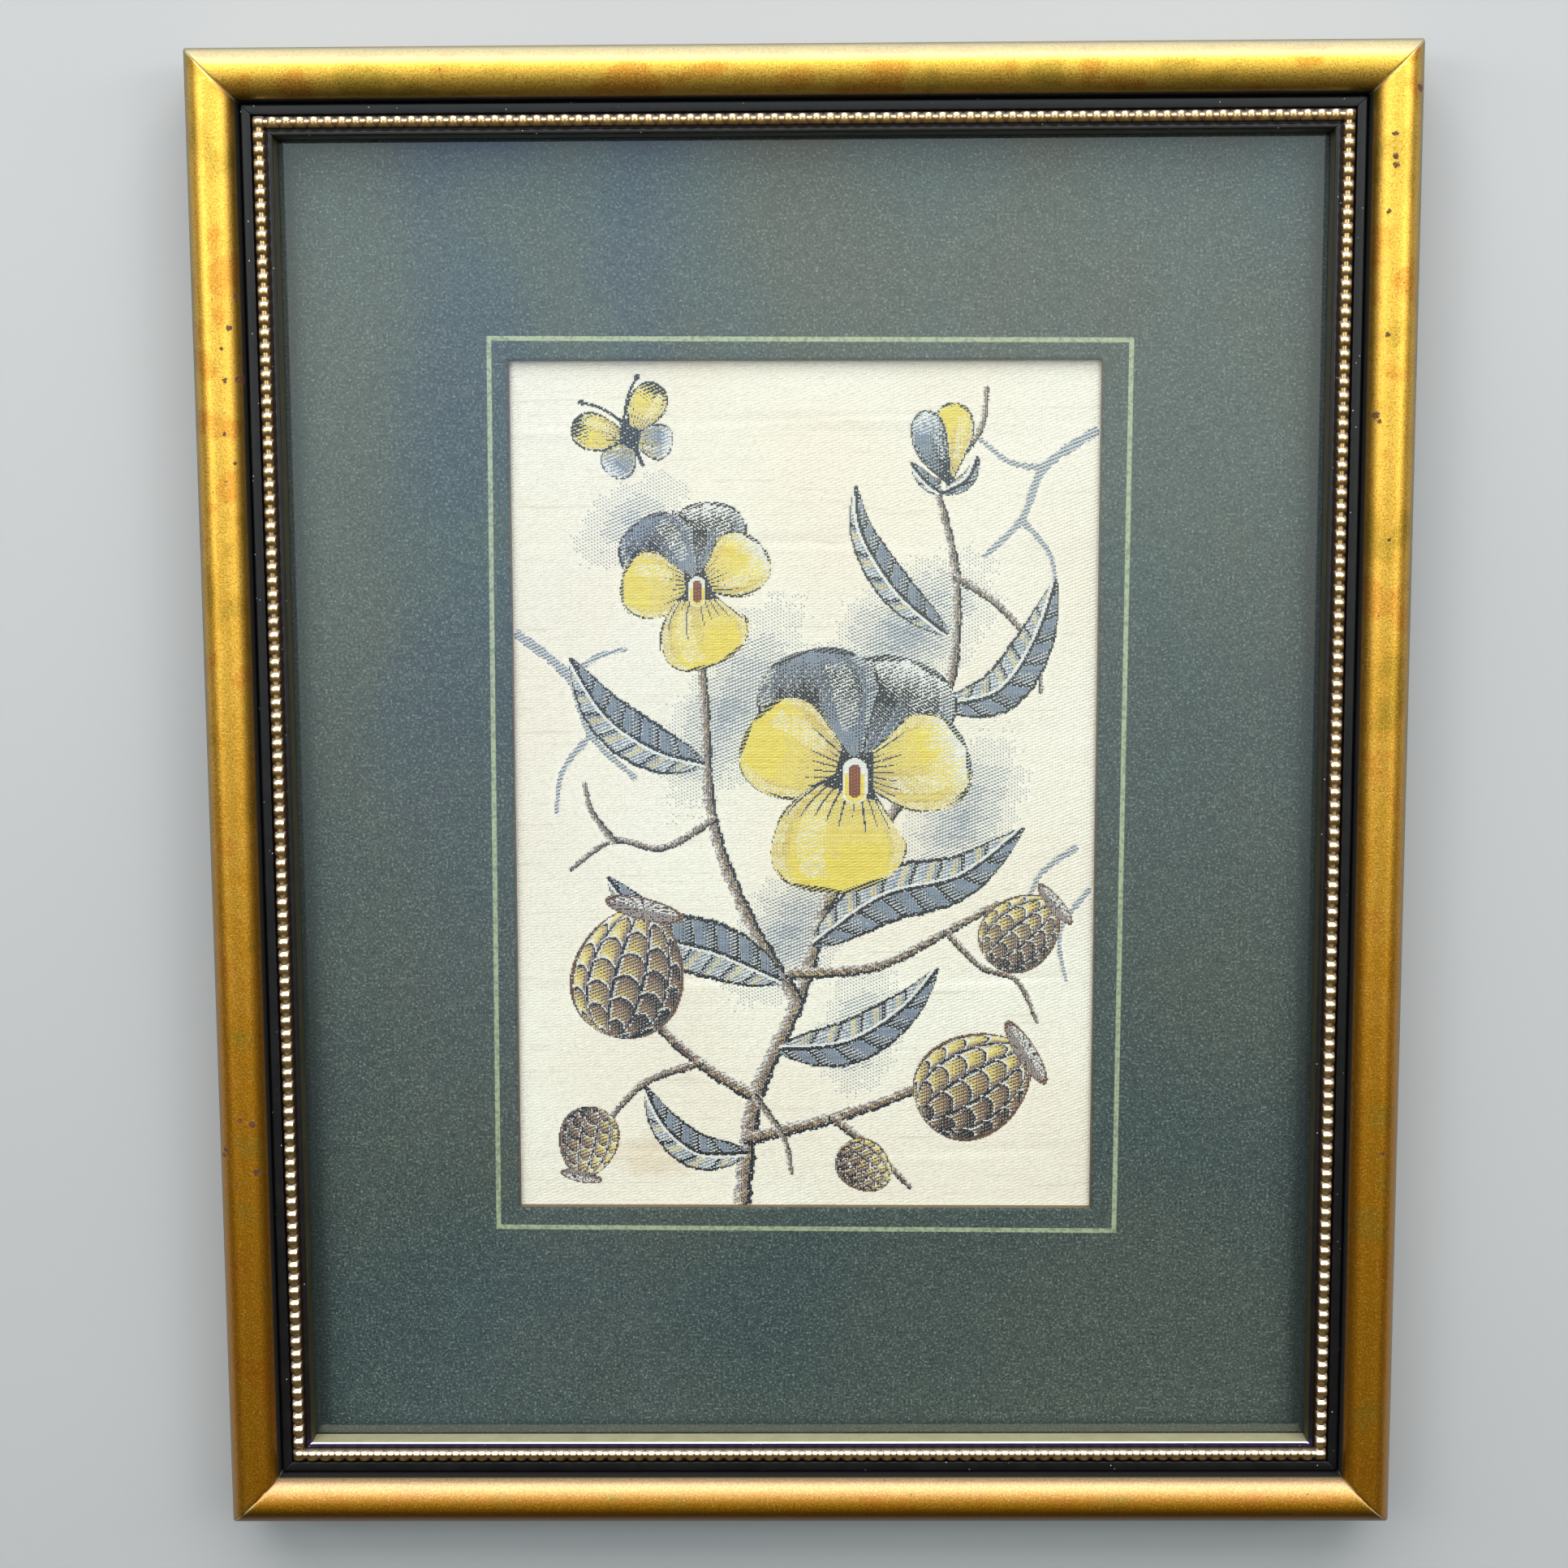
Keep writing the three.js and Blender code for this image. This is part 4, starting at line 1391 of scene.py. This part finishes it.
def butterfly(centre, size, turn):
    """Four wings in straw and slate with dark veins, and a thin dark body."""

    def out(angle, reach):
        t = math.radians(angle + turn)
        return np.array(centre) + np.array([math.cos(t), math.sin(t)]) * size * reach

    for angle, reach, width, base, tip in (
        (38, 1.0, 0.62, LEMON, CHARCOAL), (142, 1.0, 0.62, LEMON, CHARCOAL),
        (-32, 0.68, 0.6, SLATE, WHITE), (-148, 0.68, 0.6, SLATE, WHITE),
    ):
        points = [centre, out(angle + 4, reach * 0.5), out(angle, reach)]
        petal(points, size * width, base, STRAW, tip, streak=0.62, fringe=0.04, seed=angle * 0.1)
    where, along, left = beside([out(90, 0.3), centre, out(-90, 0.45)], size * 0.2)
    lay(where, np.abs(left) < size * 0.06 * (1.2 - along * 0.7), CHARCOAL)
    for lean in (70, 110):
        feeler = [out(90, 0.3), out(lean, 0.7), out(lean + (lean - 90) * 0.5, 1.02)]
        where, along, left = beside(feeler, 1.0)
        lay(where, np.abs(left) < 0.2 + 0.16 * (along > 0.93), CHARCOAL)


butterfly((-24, 49), 8.5, 24)
print(f"{np.count_nonzero(chart)} squares hold a coloured yarn in the finished chart")

# %% [markdown]
# ## From chart to floats
#
# On the loom, a yarn that shows is one short float, tied down at both ends by a warp thread. So every run of
# like squares becomes one float, cut where the twill ties it, and a float is never longer than six squares.
# In the dark areas the white warp shows as a tiny fleck at some of the ties.

# %% Runs of squares
TIE_PHASE = 3
FLECK_ROWS = 4
dark = chart == CHARCOAL
dark = dark & np.roll(dark, 1, axis=1) & np.roll(dark, -1, axis=1)
tied = (phase == TIE_PHASE) & (np.arange(chart_rows)[:, None] % FLECK_ROWS == 0)
chart[dark & tied] = WHITE

begins = np.ones(chart.shape, dtype=bool)
begins[:, 1:] = (chart[:, 1:] != chart[:, :-1]) | (phase[:, 1:] == TIE_PHASE)
float_rows, float_columns = np.nonzero(begins)
float_squares = np.diff(np.append(float_rows * chart_columns + float_columns, chart.size))
float_yarns = chart[float_rows, float_columns]
print(f"{len(float_rows)} floats, {np.count_nonzero(float_yarns)} of them coloured")

# %% [markdown]
# ## Weft yarn
#
# No two picks take the dye quite alike, and the fibres lie along each float. Each float keeps a tone of its
# own, mostly its row's, in an attribute that the finish reads. The ground's cream is worked out from the
# place on the cloth, as the stain and the slubs run across many floats.

# %% Yarn finishes
YARN_COLOURS = {
    "lemon": ((248, 234, 116), (234, 208, 80)),
    "straw": ((232, 214, 142), (196, 172, 100)),
    "charcoal": ((34, 42, 58), (16, 20, 30)),
    "slate": ((150, 163, 182), (118, 132, 154)),
    "brown": ((116, 82, 56), (84, 56, 38)),
    "rust": ((156, 86, 52), (118, 62, 38)),
    "taupe": ((176, 160, 158), (136, 120, 120)),
    "white": ((250, 249, 246), (226, 226, 226)),
}


def paint_yarn(name, pale, deep):
    f = Finish(f"{name}_silk_yarn")
    x, y, z, p = f.place()
    tone = f.node("ShaderNodeAttribute", {"attribute_name": "tone"}, output="Fac")
    fibre = f.noise(f.stretch(p, 2.5, 24.0, 10.0), 1.0, detail=2, seed=2.0)
    colour = f.blend(tone.ease(0.0, 1.0), srgb(*deep), srgb(*pale))
    colour = f.blend(fibre.ease(0.6, 0.35) * 0.35, colour, srgb(*deep))
    return f.surface(
        Base_Color=colour,
        Roughness=0.42 + fibre * 0.15,
        Normal=f.bump(fibre, 0.02, 0.5),
    )


def float_recipe(material, height):
    """Sets one float on each point: a ridge of three sides, with its top along the middle of the yarn."""
    recipe = Recipe("weft_floats", Half_width=FLOAT_WIDTH / 2 * MM, Height=height * MM)
    ridge = recipe.node("GeometryNodeMeshCylinder", {"fill_type": "NGON"}, {
        "Vertices": 3, "Side Segments": 1, "Radius": 1.0, "Depth": 2.0,
    })
    turned = recipe.node("GeometryNodeTransform", None, {0: ridge, "Rotation": (0.0, -math.pi / 2, 0.0)})
    normal = recipe.node("GeometryNodeInputNormal")
    upward = recipe.node("ShaderNodeSeparateXYZ", None, {0: normal}, output=2)
    laid = recipe.node("GeometryNodeSetShadeSmooth", None, {0: turned, "Selection": upward.above(0.2)})
    reach = recipe.node("GeometryNodeInputNamedAttribute", {"data_type": "FLOAT"}, {"Name": "reach"})
    size = recipe.node("ShaderNodeCombineXYZ", None, {
        0: reach, 1: recipe.given("Half_width"), 2: recipe.given("Height"),
    })
    floats = recipe.node("GeometryNodeInstanceOnPoints", None, {
        0: recipe.given("Geometry"), "Instance": laid, "Scale": size,
    })
    recipe.finish(floats, material)
    return recipe


# %% Lay the weft
FLOAT_WIDTH = 0.2
TIE_GAP = 0.05
MOST_FLOATS = 20000
unevenness = np.random.default_rng(11)
row_tones = unevenness.normal(0.62, 0.2, chart_rows)


def weave(name, picked, material, height, lift):
    """Makes the picked floats into pieces of a size that stays light to show."""
    pieces = []
    parts = math.ceil(len(picked) / MOST_FLOATS)
    for k, chosen in enumerate(np.array_split(picked, parts)):
        rows, columns, squares = float_rows[chosen], float_columns[chosen], float_squares[chosen]
        u = (columns + squares / 2 - chart_columns / 2) * SQUARE[0]
        v = row_y[rows]
        x, y = window_to_frame(u, v)
        z = silk_height(u, v) + lift
        points = np.column_stack([x, y, z]) * MM
        mesh = bpy.data.meshes.new(f"weft_{name}")
        mesh.from_pydata(points.tolist(), [], [])
        reach = (squares * SQUARE[0] - TIE_GAP) / 2 * MM
        tone = np.clip(row_tones[rows] + unevenness.normal(0, 0.14, len(rows)), 0, 1)
        for key, values in (("reach", reach), ("tone", tone)):
            mesh.attributes.new(key, "FLOAT", "POINT").data.foreach_set("value", values.astype(np.float32))
        piece = add_object(f"weft_{name}" if parts == 1 else f"weft_{name}_{k + 1}", mesh)
        float_recipe(material, height).bake(piece)
        settle(piece)
        pieces.append(piece)
    return pieces


weft = []
for yarn, name in enumerate(YARNS):
    picked = np.flatnonzero(float_yarns == yarn)
    if yarn == GROUND:
        weft += weave(name, picked, paint_silk_ground("cream_silk_yarn"), height=0.028, lift=0.01)
    else:
        weft += weave(name, picked, paint_yarn(name, *YARN_COLOURS[name]), height=0.045, lift=0.025)
    print(f"{name}: {len(picked)} floats, {len(weft[-1].data.polygons)} faces in its last piece")

# %% [markdown]
# ## The backing board
#
# A plain hardboard closes the back. Its solid is right as it is, so it only gets a finish: pressed brown
# fibre, smooth on one side and marked by a fine mesh on the other.

# %% Hardboard


def paint_hardboard():
    f = Finish("hardboard")
    x, y, z, p = f.place()
    fibre = f.noise(p, 1.3, detail=5, roughness=0.7, seed=3.0)
    cloud = f.noise(p, 0.05, detail=3, seed=8.0)
    chips = f.cells(f.stretch(p, 0.6, 1.4, 1.0), 0.9, seed=2.0).ease(0.22, 0.1)
    tone = f.blend(cloud.ease(0.35, 0.65), srgb(132, 96, 62), srgb(150, 112, 74))
    tone = f.blend(fibre.ease(0.5, 0.75) * 0.5, tone, srgb(96, 66, 42))
    tone = f.blend(chips * 0.35, tone, srgb(186, 150, 106))
    screen = (x * (2 * math.pi / 0.9)).wave() * (y * (2 * math.pi / 0.9)).wave()
    return f.surface(
        Base_Color=tone,
        Roughness=0.72 + fibre * 0.15,
        Normal=f.bump(fibre + screen * 0.5, 0.06, 0.6),
    )


refinish("backing_board", paint_hardboard())

# %% [markdown]
# ## Floor and light
#
# The picture lies on a pale studio floor. A gilt frame looks like what it mirrors, so soft boxes stand at
# both sides and above the top edge, where the photograph shows its bands of light. One panel hangs high up,
# for the haze that it leaves in the glass.

# %% Floor


def paint_floor():
    f = Finish("pale_floor")
    cloud = f.noise(f.place()[3], 0.01, detail=1)
    tone = f.blend(cloud, srgb(166, 167, 170), srgb(174, 174, 175))
    return f.surface(Base_Color=tone, Roughness=0.85)


# %% Soft boxes


def add_softbox(name, place, size, radiance, colour=(1.0, 1.0, 1.0)):
    """A soft box that faces the picture. Its power follows from how bright its face looks."""
    lamp = bpy.data.lights.new(name, "AREA")
    lamp.shape = "RECTANGLE"
    lamp.size, lamp.size_y = size
    lamp.energy = radiance * math.pi * size[0] * size[1]
    lamp.color = colour
    box = add_object(name, lamp)
    box.location = place
    box.rotation_euler = (-Vector(place)).to_track_quat("-Z", "Y").to_euler()


add_softbox("key_above", (0.0, 0.843, 0.8185), (1.6, 1.1), 4.95, (1.0, 0.98, 0.955))
add_softbox("side_left", (-0.6, 0.2, 0.58), (0.16, 0.6), 4.6, (1.0, 0.98, 0.95))
add_softbox("side_right", (0.6, 0.2, 0.58), (0.16, 0.6), 4.6, (1.0, 0.98, 0.95))

# %% [markdown]
# The last light is a wide panel overhead, bright towards the top edge and dim towards the bottom. The glass
# mirrors it weakly, which lays a pale haze over the upper part of the mat, with soft bluish streaks in it.
# Beyond what the glass mirrors it is brighter still, for the crest of the top moulding.

# %% Overhead panel
PANEL_REACH = (1000, 600)
PANEL_HEIGHT = 1000


def paint_panel():
    f = Finish("overhead_panel")
    x, y, z, p = f.place()
    streak = f.noise(f.stretch(p, 1.6, 0.8, 1.0), 0.009, detail=3, seed=3.0)
    rise = y.ease(-400, 200)
    edge = abs(x).ease(PANEL_REACH[0], 800) * abs(y).ease(PANEL_REACH[1], 520)
    wings = abs(x).ease(330, 480)
    beyond = y.ease(255, 340)
    blue = abs(x + 146 + (streak - 0.5) * 150).ease(96, 50) * streak.ease(0.3, 0.52)
    pale = f.blend(streak.ease(0.62, 0.42), srgb(232, 236, 228), srgb(224, 244, 244))
    tone = f.blend(blue * 0.42, pale, srgb(84, 150, 255))
    strength = 0.06 + rise * 1.26 + wings * (0.1 + rise * 1.3) + blue * (0.14 + rise * 0.04) + beyond * 1.5
    glow = f.node("ShaderNodeEmission", None, {"Color": tone, "Strength": edge * strength})
    f.node("ShaderNodeOutputMaterial", None, {"Surface": glow})
    return f.material


def add_stage_sheet(name, reach, height, material):
    """A flat rectangle that isn't part of the object. It faces up, or down where it hangs overhead."""
    x, y, z = reach[0] * MM, reach[1] * MM, height * MM
    corners = [(-x, -y, z), (x, -y, z), (x, y, z), (-x, y, z)]
    if height > 0:
        corners.reverse()
    mesh = bpy.data.meshes.new(name)
    mesh.from_pydata(corners, [], [(0, 1, 2, 3)])
    mesh.materials.append(material)
    add_object(name, mesh)


add_stage_sheet("overhead_panel", PANEL_REACH, PANEL_HEIGHT, paint_panel())
add_stage_sheet("floor", (1500, 1500), -0.4, paint_floor())

world = bpy.data.worlds.new("studio")
world.use_nodes = True
world.node_tree.nodes["Background"].inputs["Color"].default_value = (0.6, 0.62, 0.66, 1.0)
world.node_tree.nodes["Background"].inputs["Strength"].default_value = 0.1
bpy.context.scene.world = world
bpy.context.scene.view_settings.view_transform = "Standard"
